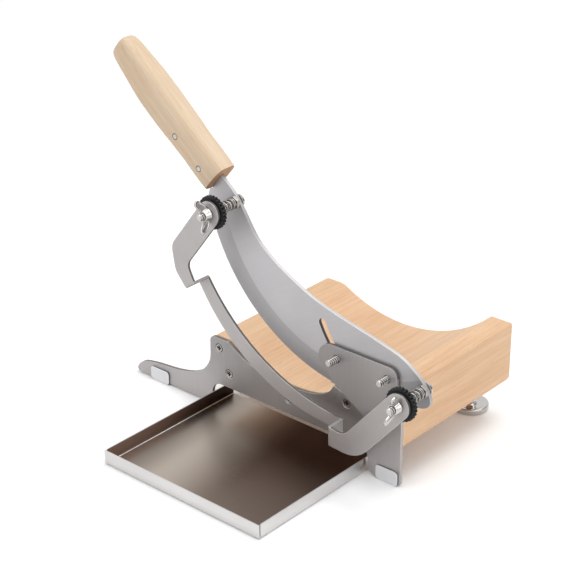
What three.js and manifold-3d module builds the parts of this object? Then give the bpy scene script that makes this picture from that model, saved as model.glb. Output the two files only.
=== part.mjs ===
// Lever slicer for frozen meat. A wooden block with a feed channel stands on a bent steel plate,
// a curved blade turns and draws on two bolts at its front, and a gauge in front of the blade sets
// how thick the slices are. Millimetres, +Z up, +X to the right and -Y to the front.
import * as THREE from 'three';
import { mergeVertices } from 'three/addons/utils/BufferGeometryUtils.js';
import Module from 'manifold-3d';

const wasm = await Module();
wasm.setup();

// Fits
const seatGap = 0.3; // between faces that meet
const boreGap = 0.3; // round a pin in its hole
const overrun = 2; // how far a cutting body passes the face it cuts

// Wooden block
const blockWidth = 201;
const blockDepth = 144;
const blockUnder = 32; // its underside above the table
const rightRim = 54.5; // rims above the underside
const leftRim = 35;
const channelRadius = 130;
const channelLeft = 11; // channel axis, left of the middle
const channelFloor = 17.5; // wood under the channel
const leftEdgeRound = 8;
const underRound = 6; // rounding of the edges underneath
const woodEdgeRound = 1.5;

// Stand plate
const plateThick = 3;
const toeReach = 89; // from the block's side to the tip of the left toe
const toeRise = 49.5; // height of the toe's upper curve
const toeTipRound = 1.2;
const toeShares = [[1, 0.06], [0.969, 0.146], [0.891, 0.244], [0.703, 0.309], [0.445, 0.358],
  [0.228, 0.453], [0.085, 0.612], [0.012, 0.82], [0, 1]];
const plateRimDrop = 0.9; // plate below the block's left rim
const plateCornerRound = 5;
const archRise = 22.8; // arch for the tray, above the table
const archRound = 10;
const archLeftInset = 1.4; // from the block's left side
const archRightInset = 32; // from the block's right side
const legRound = 6;
const plateEdgeRound = 1.5;
const bowlInset = 19.5; // bowl shaped notch, from the plate's left side
const bowlFromBend = 36.8; // and from the start of the bend to the bracket
const bowlDeep = 18.3;
const bowlShares = [[0, 1], [0.201, 0.339], [0.49, 0], [0.797, 0.164], [0.94, 0.52], [1, 0.99]];

// Raised bracket of the plate, in front of the blade
const bladeGap = 0.4; // blade to bracket and to plate
const bracketBeside = 18.1; // its left side, from the guide bolt
const bracketTopRise = 10.9; // above the bolts
const bracketLeftRound = 13;
const bracketRightRound = 8;
const bendBeside = 20.5; // start of the bend, left of the pivot bolt
const bendLeftDrop = 43.8; // bend line below the bolts at its left end
const bendRightDrop = 30.4; // and at the plate's right side
const bracketShares = [[0, 0.12, 0.6], [0.33, 0.5, 0.4], [0.93, 0.893, 0.3]];

// Bolts that carry the blade
const boltRadius = 3;
const boltReach = 16.7; // in front of the plate
const boltHeadRadius = 5.5;
const boltHeadThick = 2.3;
const pivotLeft = 10; // pivot bolt, from the block's right side
const pivotRise = 95.1;
const boltSpacing = 49.6;
const tipChamfer = 0.6;

// Swing and draw of the blade
const swing = 30; // degrees, from open to closed
const draw = 23.5; // slide of the blade over that swing
const sliderLength = 10;
const sliderHeight = 8.6;
const sliderRound = 0.6;
const guideSlotWidth = 6.8;

// Screws of the plate
const screwHeadRadius = 4;
const screwRadius = 2;
const screwLength = 20;
const recessDeep = 1.2;
const recessLength = 4.6;
const recessWidth = 1;
const screwPlaceShares = [[-0.9, 0.712], [-0.792, 0.122], [-0.143, 0.122], [0.462, 0.654]];

// Rubber caps on the plate's lower edge
const capWall = 1.2;
const capWidth = 21.5;
const capHeight = 12.5;
const capRound = 3;
const leftCapInset = 17.8; // from the tip of the toe
const rightCapInset = 1.6; // from the block's right side

// Rear feet
const footRadius = 15;
const footThick = 5.5;
const footFlare = 1.6; // rounding of the disc's rim
const footDish = 11.5; // radius of the dish on top
const footInset = 31; // from the block's side
const footFromRear = 9;
const stemRadius = 4;
const stemSunk = 12;

// Loose tray
const trayFrontReach = 125.9;
const trayRearReach = 24.5;
const trayHeight = 12.9;
const traySheet = 0.9;
const traySideGap = 0.4; // to the left side of the arch
const trayRightGap = 2.4; // to its right side

// Blade
const bladeThick = 3;
const edgeRadius = 155.7;
const edgeCentreLeft = 35.8; // centre of the cutting edge, from the pivot bolt
const edgeCentreUp = 128.8;
const edgeFrom = 197.5; // degrees
const edgeTo = 261; // degrees
const bevelWidth = 19;
const edgeThick = 0.5;
const bladeLength = 226;
const neckRound = 6;
const spineShares = [
  [-0.7367, 0.5155], [-0.6925, 0.4765], [-0.6518, 0.4239], [-0.6031, 0.3513],
  [-0.5588, 0.3075], [-0.4973, 0.2650], [-0.4274, 0.2283], [-0.3473, 0.1925],
  [-0.2553, 0.1646], [-0.1177, 0.1336], [0.0310, 0.0969], [0.0951, 0.0637],
  [0.1416, 0.0261], [0.1690, -0.0159], [0.1704, -0.0456], [0.1482, -0.0642],
  [0.1173, -0.0712], [0.0420, -0.0801], [-0.1350, -0.1000],
];
const neckShares = [[-0.8323, 0.4332], [-0.8199, 0.4655]];
const bevelClear = 8; // bevel's end, left of the guide bolt

// Handle, its tang and rivets
const handleLength = 138;
const handleWidth = 31;
const handleDepth = 23;
const handleLeft = 173.4; // lower end, from the pivot bolt
const handleUp = 117.1;
const handleTilt = 139.75; // degrees from +X
const handleSquareness = 2.6;
const tangLength = 60;
const tangWidth = 15;
const tangRound = 3;
const tangOff = 3; // tang's middle, below the handle's
const rivetRadius = 2.5;
const rivetStand = 0.4;
const rivetLow = 0.5; // handle's fall at the rivets
const rivetAlong = [14.8, 47.3]; // from the handle's lower end
const handleRingShares = [
  [0, 0.85], [0.012, 0.91], [0.2, 0.96], [0.45, 1], [0.7, 0.96], [0.86, 0.88], [0.95, 0.81],
  [0.98, 0.72], [0.995, 0.57], [1, 0.38],
];

// Studs, springs, wheels and wing nuts of the gauge
const studRadius = 3;
const studHeadRadius = 5.5;
const studHeadThick = 2;
const studReach = 45; // in front of the plate
const upperStudLeft = 156; // from the pivot bolt
const upperStudUp = 101.4;
const lowerStudRight = 32;
const lowerStudUp = 0.2;
const nutFlats = 10; // width over the flats
const nutSides = 6;
const nutThick = 3;
const springRadius = 4.3;
const springWire = 1.15;
const springCurls = 7;
const wheelRadius = 13.9;
const wheelThick = 4.2;
const wheelFront = 31.7; // in front of the plate
const wheelGripDeep = 0.9;
const wheelGrips = 30;
const wingHubRadius = 5.3;
const wingHubTip = 4.3;
const wingHubThick = 6.2;
const wingThick = 2;
const wingSpan = 12.5;
const wingRise = 10.5;
const wingWidth = 6.5;
const wingRound = 2.2;
const upperWingTurn = 112; // degrees from +X
const lowerWingTurn = 80; // degrees from +X

// Gauge frame
const gaugeSheet = 2.5;
const gaugeRise = 16; // strip's back face in front of the plate
const innerRadius = 174.6; // strip's edge beside the blade
const outerRadius = 163.2; // and its lower edge
const innerEndLeft = 32.67; // lower ends of both edges, from the pivot bolt
const innerEndDrop = 42.15;
const outerEndLeft = 45.43;
const outerEndDrop = 52.37;
const stripEndLeft = 32.5; // strip's right end, from the pivot bolt
const stripEndDrop = 58.5;
const armRound = 10.5;
const upperArmDrop = 70.7;
const stripInnerShare = [-0.2663, -0.9065]; // upper ends of both edges, from the upper stud
const stripOuterShare = [-0.4028, -1.0003];
const upperInnerShare = [-0.361, -0.721, 0.8];
const upperOuterShares = [[-0.594, -0.537, 1.1], [-0.539, -0.842, 1]];
const lowerArmDrop = 60.7;
const lowerOuterShare = [-0.624, -1, 2.6];
const lowerInnerShare = [-0.848, -0.736, 1.1];
const upperArmLean = 53; // degrees from +X
const lowerArmLean = 50; // degrees from +X

// Colours and finishes
const brushedSteel = { color: 0xb4b2b2, roughness: 0.38, metalness: 0.95 };
const brightSteel = { color: 0xd2d1cf, roughness: 0.2, metalness: 1 };
const blockWood = { color: 0xe2be96, roughness: 0.62, metalness: 0 };
const handleWood = { color: 0xe1c8a8, roughness: 0.5, metalness: 0 };
const paleRubber = { color: 0xdcdcde, roughness: 0.6, metalness: 0 };
const blackPlastic = { color: 0x17181b, roughness: 0.45, metalness: 0 };

// Faceting
const roundSides = 32;
const channelSides = 180;
const wheelSides = 4;
const springSides = 5;
const springSteps = 8;
const handleSides = 28;
const bevelSides = 128;
const bowlSteps = 20;
const toeSteps = 24;
const edgeSteps = 28;
const spineSteps = 72;
const stripSteps = 20;
const armSteps = 10;
const guideSteps = 6;
const arcStep = Math.PI / 12;
const quarterTurn = 90; // degrees
const mergeWithin = 1e-4;

// Places worked out from the sizes above. The plate's front face is at y 0, the table at z 0.
const blockSide = blockWidth / 2;
const blockFront = plateThick + seatGap;
const blockBack = blockFront + blockDepth;
const rimRight = blockUnder + rightRim;
const rimLeft = blockUnder + leftRim;
const plateFoot = capWall + seatGap;
const bladeBack = -seatGap;
const bladeFront = bladeBack - bladeThick;
const bracketBack = bladeFront - bladeGap;
const bracketFront = bracketBack - plateThick;
const pivot = new THREE.Vector2(blockSide - pivotLeft, pivotRise);
const guide = new THREE.Vector2(pivot.x - boltSpacing, pivotRise);
const edgeCentre = new THREE.Vector2(pivot.x - edgeCentreLeft, pivot.y + edgeCentreUp);
const handleStart = new THREE.Vector2(pivot.x - handleLeft, pivot.y + handleUp);
const upperStud = new THREE.Vector2(pivot.x - upperStudLeft, pivot.y + upperStudUp);
const lowerStud = new THREE.Vector2(pivot.x + lowerStudRight, pivot.y + lowerStudUp);
const archLeft = -blockSide + archLeftInset;
const archRight = blockSide - archRightInset;
const footMiddle = blockBack - footFromRear;
const screwPlaces = screwPlaceShares.map(([across, up]) => [across * blockSide, blockUnder + up * leftRim]);
const footPlaces = { left: footInset - blockSide, right: blockSide - footInset };

function radians(degrees) {
  return THREE.MathUtils.degToRad(degrees);
}

// A closed solid from any geometry: vertices shared, faces outward
function toSolid(geometry) {
  geometry.deleteAttribute('normal');
  geometry.deleteAttribute('uv');
  const merged = mergeVertices(geometry, mergeWithin);
  const position = merged.attributes.position;
  const corners = [0, 1, 2].map(() => new THREE.Vector3());
  const triangles = [];
  let volume = 0;
  for (let first = 0; first < merged.index.count; first += 3) {
    const triangle = [0, 1, 2].map((k) => merged.index.getX(first + k));
    if (new Set(triangle).size < 3) continue;
    triangle.forEach((vertex, k) => corners[k].fromBufferAttribute(position, vertex));
    volume += corners[0].dot(corners[1].clone().cross(corners[2]));
    triangles.push(triangle);
  }
  if (volume < 0) triangles.forEach((triangle) => triangle.reverse());
  const mesh = new wasm.Mesh({
    numProp: 3,
    vertProperties: position.array,
    triVerts: new Uint32Array(triangles.flat()),
  });
  return new wasm.Manifold(mesh);
}

function toGeometry(solid) {
  const mesh = solid.getMesh();
  const geometry = new THREE.BufferGeometry();
  geometry.setAttribute('position', new THREE.BufferAttribute(mesh.vertProperties, 3));
  geometry.setIndex(new THREE.BufferAttribute(mesh.triVerts, 1));
  geometry.computeVertexNormals();
  return geometry;
}

function piece(name, solid, finish) {
  const mesh = new THREE.Mesh(toGeometry(solid), new THREE.MeshStandardMaterial(finish));
  mesh.name = name;
  return mesh;
}

// Points of an arc, from one angle to another in degrees
function arc(centre, radius, from, to, steps) {
  return Array.from({ length: steps + 1 }, (_, k) => {
    const angle = radians(from + ((to - from) * k) / steps);
    return [centre.x + radius * Math.cos(angle), centre.y + radius * Math.sin(angle)];
  });
}

// Points of an arc of a radius between two points, bulging to the right of the way from the first
function sagging(from, to, radius, steps) {
  const start = new THREE.Vector2(from[0], from[1]);
  const half = new THREE.Vector2(to[0], to[1]).sub(start).divideScalar(2);
  const rise = Math.sqrt(radius ** 2 - half.lengthSq());
  const centre = new THREE.Vector2(-half.y, half.x).setLength(rise).add(start).add(half);
  const angles = [start, start.clone().addScaledVector(half, 2)].map((end) => (
    THREE.MathUtils.radToDeg(end.sub(centre).angle())));
  return arc(centre, radius, angles[0], angles[1], steps);
}

// Points of a smooth curve through a few others
function smooth(points, steps) {
  const curve = new THREE.SplineCurve(points.map(([x, z]) => new THREE.Vector2(x, z)));
  return curve.getPoints(steps).map(({ x, y }) => [x, y]);
}

// Outline through corners [x, z, radius], each rounded to its radius
function rounded(corners) {
  return corners.flatMap(([x, z, radius = 0], index) => {
    const corner = new THREE.Vector2(x, z);
    if (radius === 0) return [corner];
    const back = new THREE.Vector2(...corners.at(index - 1)).sub(corner).normalize();
    const ahead = new THREE.Vector2(...corners[(index + 1) % corners.length]).sub(corner).normalize();
    const half = Math.acos(back.dot(ahead)) / 2;
    const middle = back.clone().add(ahead).setLength(radius / Math.sin(half)).add(corner);
    const start = back.setLength(radius / Math.tan(half)).add(corner).sub(middle).angle();
    const end = ahead.setLength(radius / Math.tan(half)).add(corner).sub(middle).angle();
    const turn = Math.atan2(Math.sin(end - start), Math.cos(end - start));
    const steps = Math.max(1, Math.round(Math.abs(turn) / arcStep));
    return Array.from({ length: steps + 1 }, (_, k) => {
      const angle = start + (turn * k) / steps;
      return new THREE.Vector2(radius * Math.cos(angle), radius * Math.sin(angle)).add(middle);
    });
  });
}

// Sheet of an outline seen from the front, between two places along Y
function sheet(corners, front, back) {
  const shape = new THREE.Shape(rounded(corners));
  const geometry = new THREE.ExtrudeGeometry(shape, { depth: back - front, bevelEnabled: false });
  return toSolid(geometry.rotateX(Math.PI / 2).translate(0, back, 0));
}

// Rod along Y
function rod({ x, y }, radius, front, back, sides = roundSides) {
  const geometry = new THREE.CylinderGeometry(radius, radius, back - front, sides);
  return toSolid(geometry.translate(x, (front + back) / 2, y));
}

// Body turned about Y, from a profile of [radius, y]
function turned(profile, place = new THREE.Vector2(), sides = roundSides) {
  const points = profile.map(([radius, y]) => new THREE.Vector2(radius, y));
  return toSolid(new THREE.LatheGeometry(points, sides).translate(place.x, 0, place.y));
}

function box(left, right, front, back, low, high) {
  const geometry = new THREE.BoxGeometry(right - left, back - front, high - low);
  return toSolid(geometry.translate((left + right) / 2, (front + back) / 2, (low + high) / 2));
}

function rectangle(left, right, low, high, radius) {
  return [[left, low, radius], [right, low, radius], [right, high, radius], [left, high, radius]];
}

function cut(solid, tools) {
  return tools.reduce((rest, tool) => rest.subtract(tool), solid);
}

// Block with its channel, seen from the front, and round lower rear edge
function woodBlock() {
  const front = blockFront - overrun;
  const back = blockBack + overrun;
  const axis = new THREE.Vector2(-channelLeft, blockUnder + channelFloor + channelRadius);
  const rimInner = axis.x - Math.sqrt(channelRadius ** 2 - (axis.y - rimLeft) ** 2);
  const section = [
    [-blockSide, blockUnder, underRound],
    [blockSide, blockUnder, underRound],
    [blockSide, rimRight, woodEdgeRound],
    [axis.x, rimRight],
    [axis.x, rimLeft],
    [rimInner, rimLeft],
    [-blockSide, rimLeft, leftEdgeRound],
  ];
  const channel = rod(axis, channelRadius, front, back, channelSides);
  const rearEdge = new THREE.CylinderGeometry(underRound, underRound, blockWidth + overrun, roundSides);
  rearEdge.rotateZ(Math.PI / 2).translate(0, blockBack - underRound, blockUnder + underRound);
  const rearCorner = box(-blockSide - overrun, blockSide + overrun, blockBack - underRound, back,
    blockUnder - overrun, blockUnder + underRound);
  const screwHoles = screwPlaces.map(([x, z]) => (
    rod(new THREE.Vector2(x, z), screwRadius + boreGap, front, screwLength + boreGap)));
  const stemHoles = Object.values(footPlaces).map((x) => {
    const deep = stemSunk + boreGap;
    const radius = stemRadius + boreGap;
    const hole = new THREE.CylinderGeometry(radius, radius, deep + overrun, roundSides);
    return toSolid(hole.rotateX(Math.PI / 2).translate(x, footMiddle, blockUnder + (deep - overrun) / 2));
  });
  const tools = [channel, rearCorner.subtract(toSolid(rearEdge)), ...screwHoles, ...stemHoles];
  return cut(sheet(section, blockFront, blockBack), tools);
}

// Sheet with its toe, arch and bowl, bent forward to the bracket that holds the bolts
function standPlate() {
  const rim = rimLeft - plateRimDrop;
  const toe = toeShares.map(([across, up]) => [-blockSide - across * toeReach, plateFoot + up * toeRise]);
  const bend = [
    [pivot.x - bendBeside, pivot.y - bendLeftDrop],
    [blockSide, pivot.y - bendRightDrop],
  ];
  const bowlLeft = -blockSide + bowlInset;
  const bowlRight = bend[0][0] - bowlFromBend;
  const bowl = bowlShares.map(([across, up]) => (
    [bowlLeft + across * (bowlRight - bowlLeft), rim - bowlDeep * (1 - up)]));
  const lean = Math.atan2(bend[1][1] - bend[0][1], bend[1][0] - bend[0][0]);
  const bendUp = plateThick / Math.cos(lean);
  const [[bendX, bendZ], [sideX, sideZ]] = bend;
  const flat = sheet([
    [-blockSide - toeReach + toeTipRound, plateFoot, toeTipRound],
    [archLeft, plateFoot, legRound],
    [archLeft, archRise, archRound],
    [archRight, archRise, archRound],
    [archRight, plateFoot, legRound],
    [blockSide, plateFoot, plateEdgeRound],
    [sideX, sideZ + bendUp],
    [bendX, bendZ + bendUp],
    ...smooth(bowl, bowlSteps).reverse(),
    [-blockSide, rim, plateCornerRound],
    ...smooth(toe, toeSteps).reverse(),
  ], 0, plateThick);
  const bracketLeft = guide.x - bracketBeside;
  const bracketLow = bracketShares.map(([across, down, round]) => (
    [bracketLeft + across * (bendX - bracketLeft), pivot.y - down * bendLeftDrop, round * bracketLeftRound]));
  const bracket = sheet([
    [bendX, bendZ],
    [sideX, sideZ],
    [blockSide, pivot.y + bracketTopRise, bracketRightRound],
    [bracketLeft, pivot.y + bracketTopRise, bracketLeftRound],
    ...bracketLow,
  ], bracketFront, bracketBack);
  const bendWall = sheet([[bendX, bendZ], [sideX, sideZ], [sideX, sideZ + bendUp], [bendX, bendZ + bendUp]],
    bracketFront, plateThick);
  const boltHoles = [pivot, guide].map((bolt) => (
    rod(bolt, boltRadius + boreGap, bracketFront - overrun, bracketBack + overrun)));
  const screwHoles = screwPlaces.map(([x, z]) => turned([
    [0, -overrun],
    [screwHeadRadius + boreGap, -overrun],
    [screwHeadRadius + boreGap, 0],
    [screwRadius + boreGap, screwHeadRadius - screwRadius],
    [screwRadius + boreGap, plateThick + overrun],
    [0, plateThick + overrun],
  ], new THREE.Vector2(x, z)));
  return cut(flat.add(bracket).add(bendWall), [...boltHoles, ...screwHoles]);
}

// Countersunk screw with a cross recess
function plateScrew([x, z]) {
  const body = turned([
    [0, 0],
    [screwHeadRadius, 0],
    [screwRadius, screwHeadRadius - screwRadius],
    [screwRadius, screwLength - screwRadius],
    [0, screwLength],
  ], new THREE.Vector2(x, z));
  const [half, arm] = [recessWidth / 2, recessLength / 2];
  return cut(body, [
    box(x - half, x + half, -overrun, recessDeep, z - arm, z + arm),
    box(x - arm, x + arm, -overrun, recessDeep, z - half, z + half),
  ]);
}

// Cap pushed on the plate's lower edge
function footCap(left) {
  const reach = capWall + seatGap;
  const body = sheet(rectangle(left, left + capWidth, 0, capHeight, capRound), -reach, plateThick + reach);
  return body.subtract(box(left - overrun, left + capWidth + overrun, -seatGap, plateThick + seatGap,
    capWall, capHeight + overrun));
}

// Turned foot: a domed disc on a stem
function rearFoot(x) {
  const profile = [
    [0, 0],
    [footRadius - footFlare, 0],
    [footRadius, footFlare],
    [footRadius, footThick / 2],
    [footRadius - footFlare, footThick - footFlare / 2],
    [footDish, footThick],
    [footDish - footFlare, footThick - footFlare],
    [stemRadius, footThick - footFlare],
    [stemRadius, blockUnder + stemSunk],
    [0, blockUnder + stemSunk],
  ].map(([radius, z]) => new THREE.Vector2(radius, z));
  const geometry = new THREE.LatheGeometry(profile, roundSides);
  return toSolid(geometry.rotateX(Math.PI / 2).translate(x, footMiddle, 0));
}

// Bolt with a low round head behind the blade
function bladeBolt(place) {
  return turned([
    [0, -boltReach],
    [boltRadius - tipChamfer, -boltReach],
    [boltRadius, -boltReach + tipChamfer],
    [boltRadius, 0],
    [boltHeadRadius, 0],
    [boltHeadRadius, boltHeadThick - tipChamfer],
    [boltHeadRadius - tipChamfer, boltHeadThick],
    [0, boltHeadThick],
  ], place);
}

// Tray of thin sheet, with walls at the front and sides, open at the top and back
function sliceTray() {
  const left = archLeft + traySideGap;
  const right = archRight - trayRightGap;
  const outer = box(left, right, -trayFrontReach, trayRearReach, 0, trayHeight);
  return outer.subtract(box(left + traySheet, right - traySheet, -trayFrontReach + traySheet,
    trayRearReach + overrun, traySheet, trayHeight + overrun));
}

// Place of a bolt in the blade, as the blade draws and swings: shares run from open to closed
function guidePath(share) {
  const angle = radians(swing * share);
  return new THREE.Vector2(
    pivot.x - draw * share - boltSpacing * Math.cos(angle),
    pivot.y + boltSpacing * Math.sin(angle),
  );
}

// Slot for a pin that follows a path
function pathSlot(path, radius, front, back) {
  const discs = path.map((place) => rod(place, radius, front, back));
  const links = discs.slice(1).map((disc, k) => wasm.Manifold.hull([discs[k], disc]));
  return links.reduce((whole, link) => whole.add(link));
}

// Point at a distance along the handle and across it
function handlePoint(along, across) {
  const tilt = radians(handleTilt);
  return [
    handleStart.x + along * Math.cos(tilt) + across * Math.sin(tilt),
    handleStart.y + along * Math.sin(tilt) - across * Math.cos(tilt),
  ];
}

function rivetPlaces() {
  return rivetAlong.map((along) => new THREE.Vector2(...handlePoint(along, -tangOff)));
}

// Blade with its tang, bevelled edge, slots for the two bolts and holes for studs and rivets
function bladeBody() {
  const fromPivot = ([across, up]) => [pivot.x + across * bladeLength, pivot.y + up * bladeLength];
  const tangLow = -tangOff - tangWidth / 2;
  const tangHigh = -tangOff + tangWidth / 2;
  const outline = [
    ...arc(edgeCentre, edgeRadius, edgeTo, edgeFrom, edgeSteps),
    [...fromPivot(neckShares[0]), neckRound],
    fromPivot(neckShares[1]),
    handlePoint(-seatGap, -handleWidth / 2),
    handlePoint(-seatGap, tangLow),
    [...handlePoint(tangLength, tangLow), tangRound],
    [...handlePoint(tangLength, tangHigh), tangRound],
    ...smooth(spineShares.map(fromPivot), spineSteps),
  ];
  const front = bladeFront - overrun;
  const back = bladeBack + overrun;
  const bevelRadius = edgeRadius - bevelWidth;
  const slope = (bladeThick - edgeThick) / bevelWidth;
  const bevelStart = [bevelRadius - overrun, bladeFront - overrun * slope];
  const bevel = turned([
    bevelStart,
    [edgeRadius + overrun, bladeFront - overrun * slope],
    [edgeRadius + overrun, bladeFront + (bevelWidth + overrun) * slope],
    bevelStart,
  ], edgeCentre, bevelSides);
  const bevelZone = box(pivot.x - bladeLength, guide.x - bevelClear, front, back,
    blockUnder, pivot.y + bladeLength);
  const slotSteps = Array.from({ length: guideSteps + 1 }, (_, k) => guidePath(k / guideSteps));
  const slider = [sliderLength / 2 + boreGap, sliderHeight / 2 + boreGap];
  const tools = [
    bevel.intersect(bevelZone),
    pathSlot(slotSteps, guideSlotWidth / 2, front, back),
    box(pivot.x - draw - slider[0], pivot.x + slider[0], front, back,
      pivot.y - slider[1], pivot.y + slider[1]),
    ...[upperStud, lowerStud].map((stud) => rod(stud, studRadius + boreGap, front, back)),
    ...rivetPlaces().map((place) => rod(place, rivetRadius + boreGap, front, back)),
  ];
  return cut(sheet(outline, bladeFront, bladeBack), tools);
}

// Block round the pivot bolt, which slides in the blade's level slot
function pivotSlider() {
  const [halfLong, halfHigh] = [sliderLength / 2, sliderHeight / 2];
  const corners = rectangle(pivot.x - halfLong, pivot.x + halfLong,
    pivot.y - halfHigh, pivot.y + halfHigh, sliderRound);
  const bore = rod(pivot, boltRadius + boreGap, bladeFront - overrun, bladeBack + overrun);
  return sheet(corners, bladeFront, bladeBack).subtract(bore);
}

// Handle: rings of a rounded section along its length, with a slot for the tang
function handleBody() {
  const positions = [];
  const rings = handleRingShares.map(([along, size]) => (
    Array.from({ length: handleSides }, (_, k) => {
      const angle = (k / handleSides) * 2 * Math.PI;
      const bend = (value) => Math.sign(value) * Math.abs(value) ** (2 / handleSquareness);
      return new THREE.Vector3(
        (bend(Math.cos(angle)) * handleWidth * size) / 2,
        (bend(Math.sin(angle)) * handleDepth * size) / 2,
        along * handleLength,
      );
    })));
  const quad = (a, b, c, d) => positions.push(a, b, c, a, c, d);
  for (let ring = 1; ring < rings.length; ring += 1) {
    for (let k = 0; k < handleSides; k += 1) {
      const next = (k + 1) % handleSides;
      quad(rings[ring - 1][k], rings[ring - 1][next], rings[ring][next], rings[ring][k]);
    }
  }
  for (let k = 1; k < handleSides - 1; k += 1) {
    positions.push(rings[0][0], rings[0][k + 1], rings[0][k]);
    positions.push(rings.at(-1)[0], rings.at(-1)[k], rings.at(-1)[k + 1]);
  }
  const geometry = new THREE.BufferGeometry().setFromPoints(positions);
  geometry.rotateY(Math.PI / 2 - radians(handleTilt));
  geometry.translate(handleStart.x, (bladeFront + bladeBack) / 2, handleStart.y);
  const halfSlot = tangWidth / 2 + seatGap;
  const slot = sheet([
    handlePoint(-overrun, -tangOff - halfSlot),
    handlePoint(tangLength + seatGap, -tangOff - halfSlot),
    handlePoint(tangLength + seatGap, -tangOff + halfSlot),
    handlePoint(-overrun, -tangOff + halfSlot),
  ], bladeFront - seatGap, bladeBack + seatGap);
  const holes = rivetPlaces().map((place) => (
    rod(place, rivetRadius + boreGap, -handleDepth, handleDepth)));
  return cut(toSolid(geometry), [slot, ...holes]);
}

function handleRivet(place) {
  const middle = (bladeFront + bladeBack) / 2;
  const reach = handleDepth / 2 + rivetStand - rivetLow;
  return turned([
    [0, middle - reach],
    [rivetRadius / 2, middle - reach],
    [rivetRadius, middle - reach + rivetStand],
    [rivetRadius, middle + reach - rivetStand],
    [rivetRadius / 2, middle + reach],
    [0, middle + reach],
  ], place);
}

// Stud of the gauge, its low head behind the blade
function gaugeStud() {
  return turned([
    [0, -studReach],
    [studRadius - tipChamfer, -studReach],
    [studRadius, -studReach + tipChamfer],
    [studRadius, 0],
    [studHeadRadius, 0],
    [studHeadRadius, studHeadThick - tipChamfer],
    [studHeadRadius - tipChamfer, studHeadThick],
    [0, studHeadThick],
  ]);
}

function studNut() {
  const across = nutFlats / Math.sqrt(3);
  const back = bladeFront - seatGap;
  const bore = rod(new THREE.Vector2(), studRadius + boreGap, back - nutThick - overrun, back + overrun);
  return rod(new THREE.Vector2(), across, back - nutThick, back, nutSides).subtract(bore);
}

// Path of a compression spring's wire: a helix whose ends turn to run straight along Y
function springPath() {
  const back = bladeFront - 2 * seatGap - nutThick - springWire;
  const front = -wheelFront + wheelThick + seatGap + springWire;
  const steps = springCurls * springSteps;
  const helix = Array.from({ length: steps + 1 }, (_, k) => {
    const angle = (k / springSteps) * 2 * Math.PI;
    return new THREE.Vector3(springRadius * Math.cos(angle), back + ((front - back) * k) / steps,
      springRadius * Math.sin(angle));
  });
  const straight = new THREE.Vector3(0, springWire, 0);
  return [helix[0].clone().add(straight), ...helix, helix.at(-1).clone().sub(straight)];
}

// Tube of even thickness along a path, mitred at each point
function wireTube(path, radius, sides) {
  const along = path.slice(1).map((point, k) => point.clone().sub(path[k]).normalize());
  const side = new THREE.Vector3(1, 0, 0).cross(along[0]).normalize().multiplyScalar(radius);
  const other = along[0].clone().cross(side).normalize().multiplyScalar(radius);
  const rings = [Array.from({ length: sides }, (_, k) => {
    const angle = (k / sides) * 2 * Math.PI;
    return path[0].clone().addScaledVector(side, Math.cos(angle)).addScaledVector(other, Math.sin(angle));
  })];
  for (let step = 1; step < path.length; step += 1) {
    const heading = along[step - 1];
    const normal = heading.clone().add(along[step] ?? heading);
    rings.push(rings[step - 1].map((point) => {
      const reach = path[step].clone().sub(point).dot(normal) / heading.dot(normal);
      return point.clone().addScaledVector(heading, reach);
    }));
  }
  const positions = [];
  for (let ring = 1; ring < rings.length; ring += 1) {
    for (let k = 0; k < sides; k += 1) {
      const next = (k + 1) % sides;
      const [a, b, c, d] = [rings[ring - 1][k], rings[ring - 1][next], rings[ring][next], rings[ring][k]];
      positions.push(a, b, c, a, c, d);
    }
  }
  for (let k = 1; k < sides - 1; k += 1) {
    positions.push(rings[0][0], rings[0][k + 1], rings[0][k]);
    positions.push(rings.at(-1)[0], rings.at(-1)[k], rings.at(-1)[k + 1]);
  }
  return toSolid(new THREE.BufferGeometry().setFromPoints(positions));
}

// Least distance between points of the wire more than half a curl apart, less its thickness
function leastWireGap(path) {
  let least = Infinity;
  path.forEach((point, k) => {
    path.slice(k + springSteps / 2 + 1).forEach((other) => {
      least = Math.min(least, point.distanceTo(other) - springWire);
    });
  });
  return least;
}

// Wheel with round grips along its rim
function gripWheel() {
  const steps = wheelGrips * wheelSides;
  const corners = Array.from({ length: steps }, (_, k) => {
    const wave = Math.abs(Math.sin((k / wheelSides) * Math.PI));
    const radius = wheelRadius - wheelGripDeep * (1 - wave);
    const angle = (k / steps) * 2 * Math.PI;
    return [radius * Math.cos(angle), radius * Math.sin(angle)];
  });
  const back = -wheelFront + wheelThick;
  const bore = rod(new THREE.Vector2(), studRadius + boreGap, -wheelFront - overrun, back + overrun);
  return sheet(corners, -wheelFront, back).subtract(bore);
}

// Wing nut: a tapered hub and two wings that rise forward
function wingNut(turn) {
  const back = -wheelFront - 2 * seatGap - gaugeSheet;
  const hub = turned([
    [0, back - wingHubThick],
    [wingHubTip, back - wingHubThick],
    [wingHubRadius, back],
    [0, back],
  ]);
  const wingShape = new THREE.Shape(rounded([
    [0, 0],
    [wingHubRadius, 0],
    [wingSpan, wingRise - wingWidth, wingRound],
    [wingSpan, wingRise, wingRound],
    [wingSpan - wingWidth, wingRise, wingRound],
    [wingHubTip / 2, wingHubThick / 2],
    [0, wingHubThick / 2],
  ]));
  const wings = [0, Math.PI].map((angle) => {
    const wing = new THREE.ExtrudeGeometry(wingShape, { depth: wingThick, bevelEnabled: false });
    wing.translate(0, 0, -wingThick / 2).rotateX(Math.PI);
    return toSolid(wing.translate(0, back, 0).rotateY(angle - radians(turn)));
  });
  const bore = rod(new THREE.Vector2(), studRadius + boreGap, -studReach - overrun, back + overrun);
  return wings.reduce((whole, wing) => whole.add(wing), hub).subtract(bore);
}

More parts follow.
